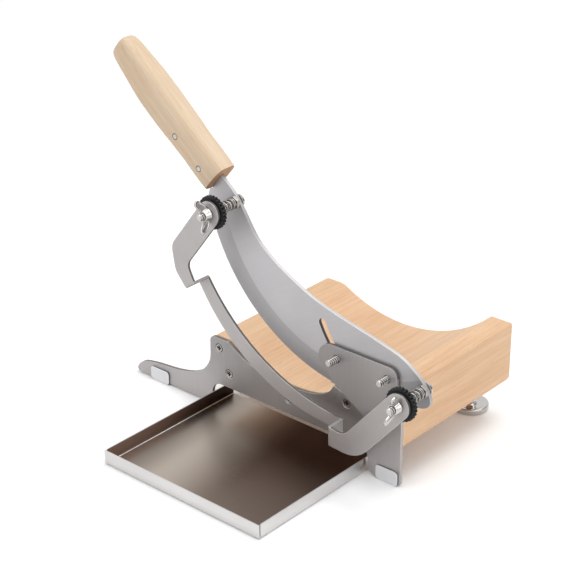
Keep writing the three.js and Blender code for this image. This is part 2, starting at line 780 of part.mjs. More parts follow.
// Gauge: one bent sheet, a curved strip behind and two arms in front, joined by two walls
function gaugeFrame() {
  const fromUpper = ([right, up, round = 0]) => (
    [upperStud.x + right * upperArmDrop, upperStud.y + up * upperArmDrop, round * armRound]);
  const fromLower = ([right, up, round = 0]) => (
    [lowerStud.x + right * lowerArmDrop, lowerStud.y + up * lowerArmDrop, round * armRound]);
  const innerEnd = [pivot.x - innerEndLeft, pivot.y - innerEndDrop];
  const outerEnd = [pivot.x - outerEndLeft, pivot.y - outerEndDrop];
  const inner = sagging(fromUpper(stripInnerShare), innerEnd, innerRadius, stripSteps);
  const outer = sagging(fromUpper(stripOuterShare), outerEnd, outerRadius, stripSteps);
  const endX = pivot.x - stripEndLeft;
  const endLow = pivot.y - stripEndDrop;
  const endHigh = inner.at(-1)[1];
  const strip = [...inner.slice(0, -1), [endX, endHigh], [endX, endLow], ...outer.reverse()];
  const armFront = -wheelFront - seatGap - gaugeSheet;
  const armBack = armFront + gaugeSheet;
  const stripBack = -gaugeRise;
  const [upperInner, upperOuter] = [inner[0], outer.at(-1)];
  const across = new THREE.Vector2(upperInner[0] - upperOuter[0], upperInner[1] - upperOuter[1]).normalize();
  const into = ([x, z]) => [x + across.y * gaugeSheet, z - across.x * gaugeSheet];
  const upperWall = [upperOuter, upperInner, into(upperInner), into(upperOuter)];
  const lowerWall = rectangle(endX - gaugeSheet, endX, endLow, endHigh, 0);
  const upperArm = [
    into(upperOuter), into(upperInner), upperInner,
    fromUpper(upperInnerShare),
    ...arc(upperStud, armRound, upperArmLean - quarterTurn, upperArmLean + quarterTurn, armSteps),
    ...upperOuterShares.map(fromUpper),
    upperOuter,
  ];
  const lowerArm = [
    [endX - gaugeSheet, endLow],
    fromLower(lowerOuterShare),
    ...arc(lowerStud, armRound, lowerArmLean - quarterTurn, lowerArmLean + quarterTurn, armSteps),
    fromLower(lowerInnerShare),
    [endX - gaugeSheet, endHigh],
  ];
  const body = sheet(strip, stripBack - gaugeSheet, stripBack)
    .add(sheet(upperWall, armFront, stripBack))
    .add(sheet(lowerWall, armFront, stripBack))
    .add(sheet(upperArm, armFront, armBack))
    .add(sheet(lowerArm, armFront, armBack));
  return cut(body, [upperStud, lowerStud].map((stud) => (
    rod(stud, studRadius + boreGap, armFront - overrun, armBack + overrun))));
}

const base = new THREE.Group();
base.add(piece('wood_base_block', woodBlock(), blockWood));
base.add(piece('stand_plate', standPlate(), brushedSteel));
screwPlaces.forEach((place, k) => {
  base.add(piece(`plate_screw_${k + 1}`, plateScrew(place), brightSteel));
});
base.add(piece('foot_cap_left', footCap(-blockSide - toeReach + leftCapInset), paleRubber));
base.add(piece('foot_cap_right', footCap(blockSide - rightCapInset - capWidth), paleRubber));
for (const [side, x] of Object.entries(footPlaces)) {
  base.add(piece(`rear_foot_${side}`, rearFoot(x), brightSteel));
}
base.add(piece('pivot_bolt', bladeBolt(pivot), brightSteel));
base.add(piece('guide_bolt', bladeBolt(guide), brightSteel));

const cutter = new THREE.Group();
cutter.add(piece('pivot_slider', pivotSlider(), brightSteel));
cutter.add(piece('blade', bladeBody(), brushedSteel));
cutter.add(piece('handle', handleBody(), handleWood));
rivetPlaces().forEach((place, k) => {
  cutter.add(piece(`handle_rivet_${k + 1}`, handleRivet(place), brightSteel));
});

const gauge = new THREE.Group();
gauge.add(piece('gauge_frame', gaugeFrame(), brushedSteel));
const springWirePath = springPath();
console.log('least gap in a spring', leastWireGap(springWirePath).toFixed(2), 'mm');
const stacks = { upper: [upperStud, upperWingTurn], lower: [lowerStud, lowerWingTurn] };
for (const [side, [stud, wingTurn]] of Object.entries(stacks)) {
  const stack = new THREE.Group();
  stack.position.set(stud.x, 0, stud.y);
  stack.add(piece(`gauge_stud_${side}`, gaugeStud(), brightSteel));
  stack.add(piece(`stud_nut_${side}`, studNut(), brightSteel));
  const spring = wireTube(springWirePath, springWire / 2, springSides);
  stack.add(piece(`gauge_spring_${side}`, spring, brightSteel));
  stack.add(piece(`knurled_wheel_${side}`, gripWheel(), blackPlastic));
  stack.add(piece(`wing_nut_${side}`, wingNut(wingTurn), brightSteel));
  gauge.add(stack);
}

const slicer = new THREE.Group();
slicer.add(base, cutter, gauge, piece('slice_tray', sliceTray(), brushedSteel));
slicer.updateMatrixWorld(true);
const bounds = new THREE.Box3().setFromObject(slicer, true);
slicer.position.set(-(bounds.min.x + bounds.max.x) / 2, -(bounds.min.y + bounds.max.y) / 2, -bounds.min.z);

export default slicer;
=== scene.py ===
import math

import bmesh
import bpy
import numpy as np
from bpy.props import FloatProperty, FloatVectorProperty, IntProperty, PointerProperty
from mathutils import Matrix, Vector


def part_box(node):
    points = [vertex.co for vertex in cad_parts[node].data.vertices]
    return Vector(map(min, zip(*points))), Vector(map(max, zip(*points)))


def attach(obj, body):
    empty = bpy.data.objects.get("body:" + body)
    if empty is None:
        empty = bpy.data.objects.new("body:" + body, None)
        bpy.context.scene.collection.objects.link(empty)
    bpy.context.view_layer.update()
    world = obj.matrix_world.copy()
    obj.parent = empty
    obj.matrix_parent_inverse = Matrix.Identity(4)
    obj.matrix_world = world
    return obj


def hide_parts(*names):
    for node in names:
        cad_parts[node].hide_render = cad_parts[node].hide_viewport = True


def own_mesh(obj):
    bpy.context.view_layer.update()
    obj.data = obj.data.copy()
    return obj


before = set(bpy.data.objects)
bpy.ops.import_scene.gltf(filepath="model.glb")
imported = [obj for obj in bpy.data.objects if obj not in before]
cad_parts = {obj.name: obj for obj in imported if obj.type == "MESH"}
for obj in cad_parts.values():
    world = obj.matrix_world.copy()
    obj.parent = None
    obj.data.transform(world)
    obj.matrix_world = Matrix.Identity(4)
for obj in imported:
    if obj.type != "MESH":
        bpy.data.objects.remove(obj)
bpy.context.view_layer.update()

bl_info = {
    "name": "Frozen meat slicer",
    "version": (1, 0, 0),
    "blender": (4, 5, 0),
    "location": "3D View > Sidebar > Slicer",
    "description": "Dresses a lever meat slicer: wooden block, steel stand, blade, gauge and tray",
    "category": "Object",
}

MILLIMETRE = 0.001
MERGE = 1e-6
SLIVER = 0.0003  # a facet narrower than this is merged away before a wide rounding
COPLANAR = math.radians(0.05)  # triangles that turn less than this are one face
EDGE_ANGLE = 28  # degrees; an edge that turns more than this is rounded
NORMAL_WEIGHT = 50
ROUND_SEGMENTS = 6  # facets of a wide rounding


def tone(code):
    """Linear colour of a six digit sRGB code."""
    shares = [int(code[k:k + 2], 16) / 255 for k in (0, 2, 4)]
    return tuple(s / 12.92 if s <= 0.04045 else ((s + 0.055) / 1.055) ** 2.4 for s in shares)


# Fixed sizes of the real thing, in metres
BOLT_RADIUS = 0.003
BOLT_HEAD = 0.0023
STUD_HEAD = 0.002
TIP_CHAMFER = 0.0006
BRACKET_BACK = 0.0037  # bracket's back face, in front of the plate
BEVEL_CENTRE = (-0.0358, 0.1288)  # centre of the cutting edge, from the pivot bolt
BEVEL_INNER = 0.1367  # where the ground bevel starts, from that centre
HANDLE_START = (-0.1734, 0.1171)  # lower end of the handle, from the pivot bolt
HANDLE_TILT = math.radians(139.75)
HANDLE_LENGTH = 0.138
HANDLE_WIDTH = 0.031
HANDLE_DEPTH = 0.023
HANDLE_RINGS = (  # share of the length, shares of the full width and depth, shift across
    (0.0, 0.88, 0.87, 0.0), (0.012, 0.93, 0.925, 0.0), (0.105, 0.95, 0.945, -0.0001),
    (0.22, 0.935, 0.93, -0.0002), (0.337, 0.967, 0.955, -0.0004), (0.453, 1.0, 0.98, -0.0007),
    (0.57, 1.012, 0.99, -0.0008), (0.686, 0.995, 0.97, -0.0007), (0.8, 0.912, 0.9, -0.0003),
    (0.9, 0.83, 0.83, 0.0), (0.95, 0.775, 0.77, 0.0), (0.98, 0.69, 0.69, 0.0), (0.995, 0.55, 0.54, 0.0),
    (1.0, 0.38, 0.37, 0.0))
HANDLE_SAMPLES = 120  # rings of the smooth curve through them
HANDLE_SIDES = 72
RIVET_HOLE = 0.0028
RIVET_STAND = 0.0003
RIVET_CROWN = 0.0006  # fall of a rivet's head from its middle to its rim
RIVET_RING = 0.0008  # width of the painted shadow ring round a rivet's head
TANG_MIDDLE = -0.003  # across the handle
TANG_WIDTH = 0.0156
TANG_LENGTH = 0.0603
TANG_SLOT = 0.0034
SHEET_MIDDLE = -0.0018  # middle of the blade's thickness, from the plate's front
THREAD_FLANK, THREAD_ROOT = 1.5, 0.25  # slope of a thread's flanks, and share of its flat root
THREAD_STEPS = 12  # rings for each pitch
BOLT_SIDES = 32
STUD_THREAD = 0.0035  # end of the studs' threads, in front of the plate
PLATE_SHEET = 0.003
THIN = 0.0001  # radius of the small flat in the middle of a turned piece
SPRING_CLOSE = 1.04  # pitch of a spring's end turns, in wires
SPRING_STEPS = 40  # rings for each turn
WHEEL_BORE, WHEEL_DISH, WHEEL_RIM = 0.0032, 0.0004, 0.0008
WHEEL_GRIP = 0.00176  # depth of the ring in which the grooves fade out
WHEEL_BOSS = (0.0062, 0.0066)  # radii of the step round the bore
WING_TURNS = {"upper": math.radians(107), "lower": math.radians(74)}
WING_HALVES = (0.0067, 0.0034, 0.00095)  # half length, width and thickness of a wing
WING_PRESSED = 0.45  # share of its thickness that is pressed in
WING_DISH = (0.8, 0.25)  # shares of the outline: where the dish ends, and the width of its slope
WING_POWERS = (0.28, 0.4, 0.7)  # of the sines: way out to the outline, thickness, squareness
WING_LEAN = math.radians(47)
WING_PLACE = (0.0079, 0.0058)  # middle of a wing, from the axis and from the hub's back
WING_HUB = (  # radius and height over the back
    (0.00315, 0.0), (0.0049, 0.0), (0.0053, 0.0004), (0.0053, 0.0012), (0.0048, 0.0018),
    (0.0044, 0.0056), (0.0041, 0.0061), (0.00355, 0.0062), (0.00315, 0.0058))
WING_TRIM = 0.0038  # radius in which a wing is cut away
SCREW_DISH, SCREW_DEEP = 0.0004, 0.0014  # depth of a screw's dish and of its recess
SCREW_CROSS = (0.0022, 0.00065)  # half length and half width of the recess
SCREW_RINGS = (0.0021, 0.0026, 0.003)  # radii of the dish's floor, of its slope and of its rim
SCREW_SLOPE = 0.00012  # depth of the dish where its slope bends
SCREW_RIM = (0.0008, 0.0006)  # width and depth of the chamfer round the head
SCREW_SHANK, SCREW_HEAD = 0.002, 0.0023  # radius of the shank, depth of the head
FOOT_THICK, FOOT_FLARE, FOOT_LIP = 0.0055, 0.0016, 0.0012
FOOT_DISH, FOOT_STEM = 0.0016, 0.004  # depth of the dish, radius of the stem
FOOT_SLOPE = (0.0032, 0.005)  # from the rim, where the dish starts and where it is deepest
FOOT_NECK = (0.0052, 0.0043)  # radii where the dish rises again, and half way up to the stem
CAP_PALE = 0.3  # share of a cap's sides, from its face, without painted shadow
TRAY_SHEET = 0.0009
TRAY_SEAM = 0.00004  # between the tray's front wall and its sides
SLOT_END = (-0.0664, 0.0248)  # upper end of the blade's guide slot, from the pivot bolt
SLOT_REACH = 0.0065  # from the line between the ends of the slot to its walls
PLATE_SHADE = (-0.11, -0.015)  # middle of the plate's painted shade, from the pivot bolt
END_GRAIN = (0.72, 0.5, 0.34)  # shares of the dark wood's colour at the handle's lower end

# Stage
FLOOR_NEAR, FLOOR_FAR = 700.0, 1500.0  # where the floor starts to glow, in millimetres
FLOOR_REACH, FLOOR_BELOW = 6.0, 0.0002
LIGHT_SIZE, LIGHT_AIM = 1.4, (0, 0, 0.1)
LIGHTS = (  # name, place and power in watts
    ("key", (-0.5, -1.1, 1.9), 10), ("fill", (1.8, -0.5, 1.1), 8), ("top", (0.3, 0.5, 2.0), 21))
WORLD_LIGHT = 0.62  # strength of the even light, next to the white that the camera sees
CAMERA_FOCAL, PICTURE_WIDTH = 1735.66, 576  # in pixels
CAMERA_SENSOR = 36.0
CAMERA_TURNS = (math.radians(41.15), math.radians(25.93), math.radians(-0.25))  # yaw, pitch, roll
CAMERA_PLACE = (0.79195, -0.9223, 0.7321)  # from the block's middle, the plate's front, the floor
BLACK, WHITE = (0.0, 0.0, 0.0, 1.0), (1.0, 1.0, 1.0, 1.0)

# Which edges of a CAD node are rounded, and how
SHEET_DEEPEST = 0.005  # a face deeper than this along Y is a folded wall and no cut edge
CUT_DEEPEST = 0.0045  # and a cut edge of a sheet is shallower than this
FACING_Y, CROSSING_Y = 0.9, 0.3  # shares of a normal along Y: faces Y, or lies across it
LEVEL_SHARE = 0.999  # share of an edge along Y that makes it level with Y
FACET_SHORTEST = 0.002  # shortest edge across a sheet
FACET_TURNS = (12, 26)  # degrees; turns between the facets of a curved outline
FACET_ROUND = 45  # percent of a facet that its rounding takes
STAND_SIDEWAYS, GAUGE_SIDEWAYS = 0.9, 1.1  # largest share along X of a folded wall's normal
LOW_RIM = 0.035  # height of the block's low rim above its underside
RIM_PLACE = (0.012, 0.04)  # where the channel meets it, from the block's left side
RIM_LEVEL = 0.00005  # that edge keeps this close to the rim's height
RIM_LONG = 0.1  # and is longer than this


def length_property(name, description, default, low, high):
    """A length that a user can change."""
    return FloatProperty(name=name, description=description, default=default, min=low, max=high,
                         precision=5, subtype="DISTANCE", unit="LENGTH")


class SlicerSizes(bpy.types.PropertyGroup):
    """Sizes of the finish that can be changed."""

    sheet_round: length_property(
        "Sheet edge round", "Rounding of the sheets' cut edges", 0.00022, 0.00005, 0.0006)
    wood_round: length_property(
        "Wood edge round", "Rounding of the block's edges", 0.0009, 0.0001, 0.0014)
    cap_round: length_property(
        "Cap edge round", "Rounding of the soft caps' edges", 0.0005, 0.0001, 0.0006)
    thread_pitch: length_property(
        "Thread pitch", "Distance between turns of the bolts' threads", 0.0022, 0.0005, 0.0025)
    thread_depth: length_property(
        "Thread depth", "Depth of the bolts' threads", 0.0008, 0.0002, 0.0009)
    fold_outer: length_property(
        "Fold outside", "Outer radius of the bent sheets' folds", 0.002, 0.0005, 0.0022)
    fold_inner: length_property(
        "Fold inside", "Inner radius of the bent sheets' folds", 0.0006, 0.0002, 0.001)
    channel_round: length_property(
        "Channel edge round", "Rounding where the feed channel meets the low rim",
        0.004, 0.0005, 0.0042)
    spring_turns: IntProperty(
        name="Spring turns", description="Turns of each compression spring", default=6, min=5, max=11)
    spring_wire: length_property(
        "Spring wire", "Thickness of the springs' wire", 0.0013, 0.0008, 0.0014)
    wheel_grips: IntProperty(
        name="Wheel grips", description="Grips along the rim of each wheel", default=26, min=16, max=40)
    wheel_groove: length_property(
        "Wheel groove", "Depth of the grooves between the grips", 0.0014, 0.0003, 0.0016)
    handle_squareness: FloatProperty(
        name="Handle squareness", description="2 gives an oval handle, more a squarer one",
        default=3.5, min=2.0, max=4.0)
    tray_bend: length_property(
        "Tray bend", "Inner radius of the tray's folds", 0.0009, 0.0001, 0.001)


def colour_property(name, description, code):
    """A colour that a user can change, with its default as an sRGB code."""
    return FloatVectorProperty(
        name=name, description=description, default=tone(code), size=3, min=0, max=1, subtype="COLOR")


class SlicerColours(bpy.types.PropertyGroup):
    """Colours of the finishes that can be changed."""

    block_light: colour_property("Block light", "Light tone of the block's wood", "DCBA98")
    block_dark: colour_property("Block dark", "Dark tone of the block's grain", "C1936B")
    handle_light: colour_property("Handle light", "Light tone of the handle's wood", "D5C1A8")
    handle_dark: colour_property("Handle dark", "Dark tone of the handle's grain", "BD9F7E")
    plate_steel: colour_property("Plate steel", "Brushed steel of the stand", "B9B5B4")
    gauge_steel: colour_property("Gauge steel", "Brushed steel of the gauge", "BAB6B5")
    blade_steel: colour_property("Blade steel", "Ground steel of the blade", "C6C4C6")
    tray_steel: colour_property("Tray steel", "Smooth steel of the tray's outside", "D6D4D3")
    # painted reflection and painted shade on the tray's inside: the floor's lighter left part, its darker
    # rest, and the inner walls, painted darker towards the back
    tray_floor_lit: colour_property("Tray floor left", "Steel of the tray's floor, lighter left part", "B4A99E")
    tray_floor_shaded: colour_property("Tray floor", "Darker steel of the tray's floor", "4E3729")
    tray_wall_shaded: colour_property("Tray wall inside", "Steel of the tray's walls inside", "B6988A")
    bright_steel: colour_property("Bright steel", "Polished steel of the fasteners", "C6C3C0")
    spring_steel: colour_property("Spring steel", "Duller steel of springs and nuts", "A5A19D")
    # cut edges painted darker than the sheet: partly the duller cut face, partly painted shade
    cut_steel_shade: colour_property("Cut edge", "Dark cut edges of the sheets", "6E6C6B")
    blade_edge: colour_property("Blade edge", "Cut edges of the blade", "B7B5B5")
    cap: colour_property("Caps", "Soft light caps under the plate", "DCDCDE")
    wheel: colour_property("Wheels", "Black moulded wheels", "07080B")
    floor: colour_property("Floor", "Pale floor", "FFFFFF")


# Meshes


def grid_faces(rows, columns, close_rows, close_columns):
    """Corner numbers of a grid's quads, as an array; either way round can close on itself."""
    index = np.arange(rows * columns).reshape(rows, columns)
    if close_rows:
        index = np.vstack([index, index[:1]])
    if close_columns:
        index = np.hstack([index, index[:, :1]])
    corners = [index[:-1, :-1], index[:-1, 1:], index[1:, 1:], index[1:, :-1]]
    return np.stack(corners, axis=-1).reshape(-1, 4)


def new_object(name, data):
    """An object with that data, linked to the scene."""
    obj = bpy.data.objects.new(name, data)
    bpy.context.scene.collection.objects.link(obj)
    return obj


def grid_object(name, grids, smooth_angle=40):
    """Mesh object from grids of points, each (points, close rows, close columns, flat ends).

    A grid has rows, columns and xyz. Ends that stay open get one flat face each.
    """
    points, faces = [], []
    for grid, close_rows, close_columns, flat_ends in grids:
        rows, columns = grid.shape[:2]
        start = sum(len(p) for p in points)
        quads = grid_faces(rows, columns, close_rows, close_columns) + start
        faces += quads.tolist()
        if flat_ends:
            ring = np.arange(columns) + start
            faces += [ring[::-1].tolist(), (ring + (rows - 1) * columns).tolist()]
        points.append(grid.reshape(-1, 3))
    mesh = bpy.data.meshes.new(name)
    mesh.from_pydata(np.concatenate(points).tolist(), [], faces)
    tidy = bmesh.new()
    tidy.from_mesh(mesh)
    bmesh.ops.remove_doubles(tidy, verts=tidy.verts, dist=MERGE)
    bmesh.ops.dissolve_degenerate(tidy, edges=tidy.edges, dist=MERGE)
    bmesh.ops.recalc_face_normals(tidy, faces=tidy.faces)
    tidy.to_mesh(mesh)
    tidy.free()
    shade(mesh, smooth_angle)
    return new_object(name, mesh)


def ring_object(name, rings, smooth_angle=40):
    """Mesh object from closed rings of points, with a flat face at each end."""
    return grid_object(name, [(rings, False, True, True)], smooth_angle)


def shade(mesh, smooth_angle):
    """Smooth shading, with sharp edges above an angle in degrees."""
    mesh.polygons.foreach_set("use_smooth", np.ones(len(mesh.polygons), bool))
    mesh.set_sharp_from_angle(angle=math.radians(smooth_angle))
    mesh.update()


def apply_modifiers(obj):
    """Gives the object the mesh that its modifiers make, and removes them."""
    graph = bpy.context.evaluated_depsgraph_get()
    made = bpy.data.meshes.new_from_object(obj.evaluated_get(graph))
    obj.modifiers.clear()
    obj.data = made


def read_values(items, name, width=1, kind=float):
    """A property of all items of a mesh, as an array with that many columns."""
    values = np.empty(len(items) * width, kind)
    items.foreach_get(name, values)
    return values if width == 1 else values.reshape(-1, width)


def mesh_points(mesh):
    """Places of the mesh's corners, as rows of an array."""
    return read_values(mesh.vertices, "co", 3)


def face_depths(mesh):
    """How far each face reaches along Y."""
    corners = read_values(mesh.loops, "vertex_index", kind=np.int32)
    starts = read_values(mesh.polygons, "loop_start", kind=np.int32)
    along = mesh_points(mesh)[corners, 1]
    return np.maximum.reduceat(along, starts) - np.minimum.reduceat(along, starts)


def face_middles(mesh):
    """Middle and normal of each face."""
    return read_values(mesh.polygons, "center", 3), read_values(mesh.polygons, "normal", 3)


def cut_with(obj, tool):
    """Cuts a tool object out of another, and removes the tool."""
    cut = obj.modifiers.new("cut", "BOOLEAN")
    cut.operation, cut.solver, cut.object = "DIFFERENCE", "EXACT", tool
    apply_modifiers(obj)
    bpy.data.objects.remove(tool)


def store_values(mesh, domain, name, values):
    """Stores one value for each POINT or FACE of a mesh, for a material to read."""
    attribute = mesh.attributes.get(name) or mesh.attributes.new(name, "FLOAT", domain)
    attribute.data.foreach_set("value", values.astype(np.float32))


def axis_reach(points, middle):
    """Distance of each point from an axis along Y through the middle."""
    return np.hypot(points[:, 0] - middle[0], points[:, 2] - middle[2])


def soften_edges(tidy, chosen, width, kind="OFFSET", clamp=False):
    """Rounds edges of a bmesh: chosen takes an edge and says whether it is one."""
    edges = [edge for edge in tidy.edges if len(edge.link_faces) == 2 and chosen(edge)]
    bmesh.ops.bevel(tidy, geom=edges, offset=width, offset_type=kind, segments=ROUND_SEGMENTS,
                    profile=0.5, affect="EDGES", clamp_overlap=clamp)


def is_fold(edge, convex, sideways):
    """Whether a sheet is folded here: a face along Y that is deeper than any cut edge meets one
    that faces Y, and faces sideways no more than the share given."""
    flat, wall = sorted(edge.link_faces, key=lambda face: -abs(face.normal.y))
    along = [corner.co.y for corner in wall.verts]
    return (abs(flat.normal.y) > FACING_Y and abs(wall.normal.y) < CROSSING_Y
            and edge.is_convex == convex and abs(wall.normal.x) < sideways
            and edge.calc_length() > SHEET_DEEPEST and max(along) - min(along) > SHEET_DEEPEST)


def is_outline_corner(edge):
    """Whether this is one of the short facets' corners along a curved outline."""
    way = edge.verts[1].co - edge.verts[0].co
    level = abs(way.y) > LEVEL_SHARE * way.length and FACET_SHORTEST < way.length < SHEET_DEEPEST
    turn = math.degrees(edge.calc_face_angle(0))
    return level and FACET_TURNS[0] < turn < FACET_TURNS[1]


def soften_sheet(tidy, sideways):
    """Rounds the outline's corners and the folds of a bent sheet, outside and inside."""
    sizes = bpy.context.scene.slicer_sizes
    soften_edges(tidy, is_outline_corner, FACET_ROUND, "PERCENT", clamp=True)
    for convex, width in ((True, sizes.fold_outer), (False, sizes.fold_inner)):
        soften_edges(tidy, lambda edge: is_fold(edge, convex, sideways), width)


def soften_stand(tidy):
    """Rounds the stand plate's corners and folds."""
    soften_sheet(tidy, STAND_SIDEWAYS)


def soften_gauge(tidy):
    """Rounds the gauge's corners and folds."""
    soften_sheet(tidy, GAUGE_SIDEWAYS)


def soften_channel(tidy):
    """Rounds the long edge where the feed channel meets the low rim."""
    low = box_of("wood_base_block")[0]
    rim = low[2] + LOW_RIM

    def chosen(edge):
        """Whether this is that edge."""
        start, end = (corner.co for corner in edge.verts)
        return (edge.is_convex and abs(start.y - end.y) > RIM_LONG and abs(start.z - rim) < RIM_LEVEL
                and low[0] + RIM_PLACE[0] < start.x < low[0] + RIM_PLACE[1])

    kept = [corner for edge in tidy.edges if chosen(edge) for corner in edge.verts]
    short = [(edge.other_vert(corner), corner) for corner in kept for edge in corner.link_edges
             if edge.calc_length() < SLIVER]
    bmesh.ops.weld_verts(tidy, targetmap=dict(short))
    soften_edges(tidy, chosen, bpy.context.scene.slicer_sizes.channel_round)


def rounded_copy(node, width, segments=2, soften=None):
    """Copy of a CAD node with its triangles merged to faces and its edges rounded.

    A face that the rounding adds has round_edge 1. A face of a sheet that was cut, so that its
    normal lies across Y and it is no deeper than a sheet, has cut_edge_and_shade 1.
    """
    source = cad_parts[node].data
    mesh = bpy.data.meshes.new(node + "_dressed")
    mesh.from_pydata(mesh_points(source).tolist(), [], [list(p.vertices) for p in source.polygons])
    tidy = bmesh.new()
    tidy.from_mesh(mesh)
    bmesh.ops.remove_doubles(tidy, verts=tidy.verts, dist=MERGE)
    bmesh.ops.dissolve_limit(tidy, angle_limit=COPLANAR, verts=tidy.verts, edges=tidy.edges)
    if soften:
        soften(tidy)
    tidy.to_mesh(mesh)
    tidy.free()
    shade(mesh, EDGE_ANGLE)
    obj = new_object(node + "_dressed", mesh)
    for _ in range(2):
        mesh.materials.append(None)
    bevel = obj.modifiers.new("edges", "BEVEL")
    bevel.width = width
    bevel.segments = segments
    bevel.limit_method = "ANGLE"
    bevel.angle_limit = math.radians(EDGE_ANGLE)
    bevel.use_clamp_overlap = False
    bevel.material = 1
    weighted = obj.modifiers.new("normals", "WEIGHTED_NORMAL")
    weighted.weight = NORMAL_WEIGHT
    weighted.keep_sharp = True
    apply_modifiers(obj)
    mesh = obj.data
    slots = read_values(mesh.polygons, "material_index", kind=np.int32)
    across = 1 - np.abs(face_middles(mesh)[1][:, 1])
    cut = (across > 0.5) & (slots == 0) & (face_depths(mesh) < CUT_DEEPEST)
    store_values(mesh, "FACE", "round_edge", slots)
    store_values(mesh, "FACE", "cut_edge_and_shade", cut)
    mesh.polygons.foreach_set("material_index", np.zeros(len(mesh.polygons), np.int32))
    mesh.materials.clear()
    return obj


def finish_piece(obj, body, node, material):
    """Gives a piece the material of that name, and its place in the frame of bodies."""
    obj.data.materials.clear()
    obj.data.materials.append(material_named(material))
    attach(obj, body)
    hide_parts(node)
    return obj


def box_of(node):
    """Lowest corner, highest corner and middle of a CAD node, as arrays."""
    low, high = (np.array(corner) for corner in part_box(node))
    return low, high, (low + high) / 2


def circle(sides):
    """Angles of evenly spaced points round a circle."""
    return np.arange(sides) / sides * 2 * np.pi


def arc(centre, start, end, radius, steps=7):
    """Points of an arc between two angles."""
    angle = np.linspace(start, end, steps)
    return np.stack([centre[0] + radius * np.cos(angle), centre[1] + radius * np.sin(angle)], 1)


def signed_power(value, exponent):
    """The absolute value to a power, with the sign kept."""
    return np.sign(value) * np.abs(value) ** exponent


def turned_grid(profile, middle, sides):
    """Points of a body turned about Y: each profile point [radius, y] goes round a circle."""
    radius, along = np.asarray(profile, float).T
    return round_axis(np.repeat(radius[:, None], sides, 1), along, middle, circle(sides))


def round_axis(radius, along, middle, angle):
    """Points at a radius for each row and angle, round an axis along Y through the middle."""
    rows = np.repeat(along[:, None], len(angle), 1)
    return np.stack([middle[0] + radius * np.cos(angle), rows, middle[2] + radius * np.sin(angle)], -1)


def smooth_through(points, samples):
    """Evenly shared samples of a curve through points, each pair joined by a cubic whose slopes
    are half the distance between the neighbours."""
    points = np.asarray(points, float)
    ends = np.vstack([2 * points[0] - points[1], points, 2 * points[-1] - points[-2]])
    place = np.linspace(0, len(points) - 1, samples)
    first = np.minimum(place.astype(int), len(points) - 2)
    t = (place - first)[:, None]
    before, start, end, after = (ends[first + k] for k in range(4))
    return 0.5 * (2 * start + (end - before) * t + (2 * before - 5 * start + 4 * end - after) * t ** 2
                  + (3 * start - before - 3 * end + after) * t ** 3)


# Shared effects

NODE_SPACING = 180
COLOUR, VALUE, VECTOR = "NodeSocketColor", "NodeSocketFloat", "NodeSocketVector"


class Nodes:
    """Adds nodes to a tree. An input that is a socket is linked, and any other is set."""

    def __init__(self, tree):
        """Starts a row of nodes."""
        self.tree = tree
        self.column = 0

    def add(self, kind, inputs=None, **settings):
        """A node of a kind, with its settings and inputs."""
        node = self.tree.nodes.new(kind)
        node.location = (self.column, 0)
        self.column += NODE_SPACING
        for key, value in settings.items():
            setattr(node, key, value)
        for key, value in (inputs or {}).items():
            if isinstance(value, bpy.types.NodeSocket):
                self.tree.links.new(value, node.inputs[key])
            else:
                node.inputs[key].default_value = value
        return node

    def value(self, operation, *inputs, clamp=False):
        """Result of an operation on numbers."""
        node = self.add("ShaderNodeMath", dict(enumerate(inputs)), operation=operation, use_clamp=clamp)
        return node.outputs[0]

    def vector(self, operation, *inputs):
        """Result of an operation on vectors."""
        node = self.add("ShaderNodeVectorMath", dict(enumerate(inputs)), operation=operation)
        return node.outputs["Value" if operation in ("LENGTH", "DOT_PRODUCT") else "Vector"]

    def between(self, value, low, high, to_low, to_high, smooth=False):
        """The value carried from one range to another, and kept inside it."""
        node = self.add(
            "ShaderNodeMapRange", {0: value, 1: low, 2: high, 3: to_low, 4: to_high},
            interpolation_type="SMOOTHSTEP" if smooth else "LINEAR")
        return node.outputs[0]

    def step(self, value, low, high):
        """A smooth rise from 0 at one value to 1 at another."""
        return self.between(value, low, high, 0.0, 1.0, smooth=True)

    def mix(self, share, first, second):
        """A mix of two colours."""
        node = self.add("ShaderNodeMix", {0: share, 6: first, 7: second}, data_type="RGBA")
        return node.outputs[2]

    def noise(self, vector, scale, detail=2.0, roughness=0.5):
        """Noise at one scale, or at a scale for each axis."""
        if isinstance(scale, tuple):
            vector, scale = self.vector("MULTIPLY", vector, scale), 1.0
        node = self.add("ShaderNodeTexNoise", {
            "Vector": vector, "Scale": scale, "Detail": detail, "Roughness": roughness})
        return node.outputs[0]

    def group(self, tree, **inputs):
        """Outputs of a shared group. An underscore in an input's name stands for a space."""
        given = {key.replace("_", " "): value for key, value in inputs.items()}
        return self.add("ShaderNodeGroup", given, node_tree=tree).outputs

    def attribute(self, name):
        """A value that the mesh stores under that name."""
        return self.add("ShaderNodeAttribute", attribute_name=name).outputs["Fac"]


def shared_group(name, inputs, outputs, build):
    """A shader node group, built once: inputs are (name, socket type, default), and outputs
    (name, socket type)."""
    found = bpy.data.node_groups.get(name)
    if found:
        return found
    tree = bpy.data.node_groups.new(name, "ShaderNodeTree")
    for label, kind, default in inputs:
        socket = tree.interface.new_socket(label, in_out="INPUT", socket_type=kind)
        if default is not None:
            socket.default_value = default
    for label, kind in outputs:
        tree.interface.new_socket(label, in_out="OUTPUT", socket_type=kind)
    nodes = Nodes(tree)
    given = nodes.add("NodeGroupInput").outputs
    nodes.add("NodeGroupOutput", build(nodes, given))
    return tree


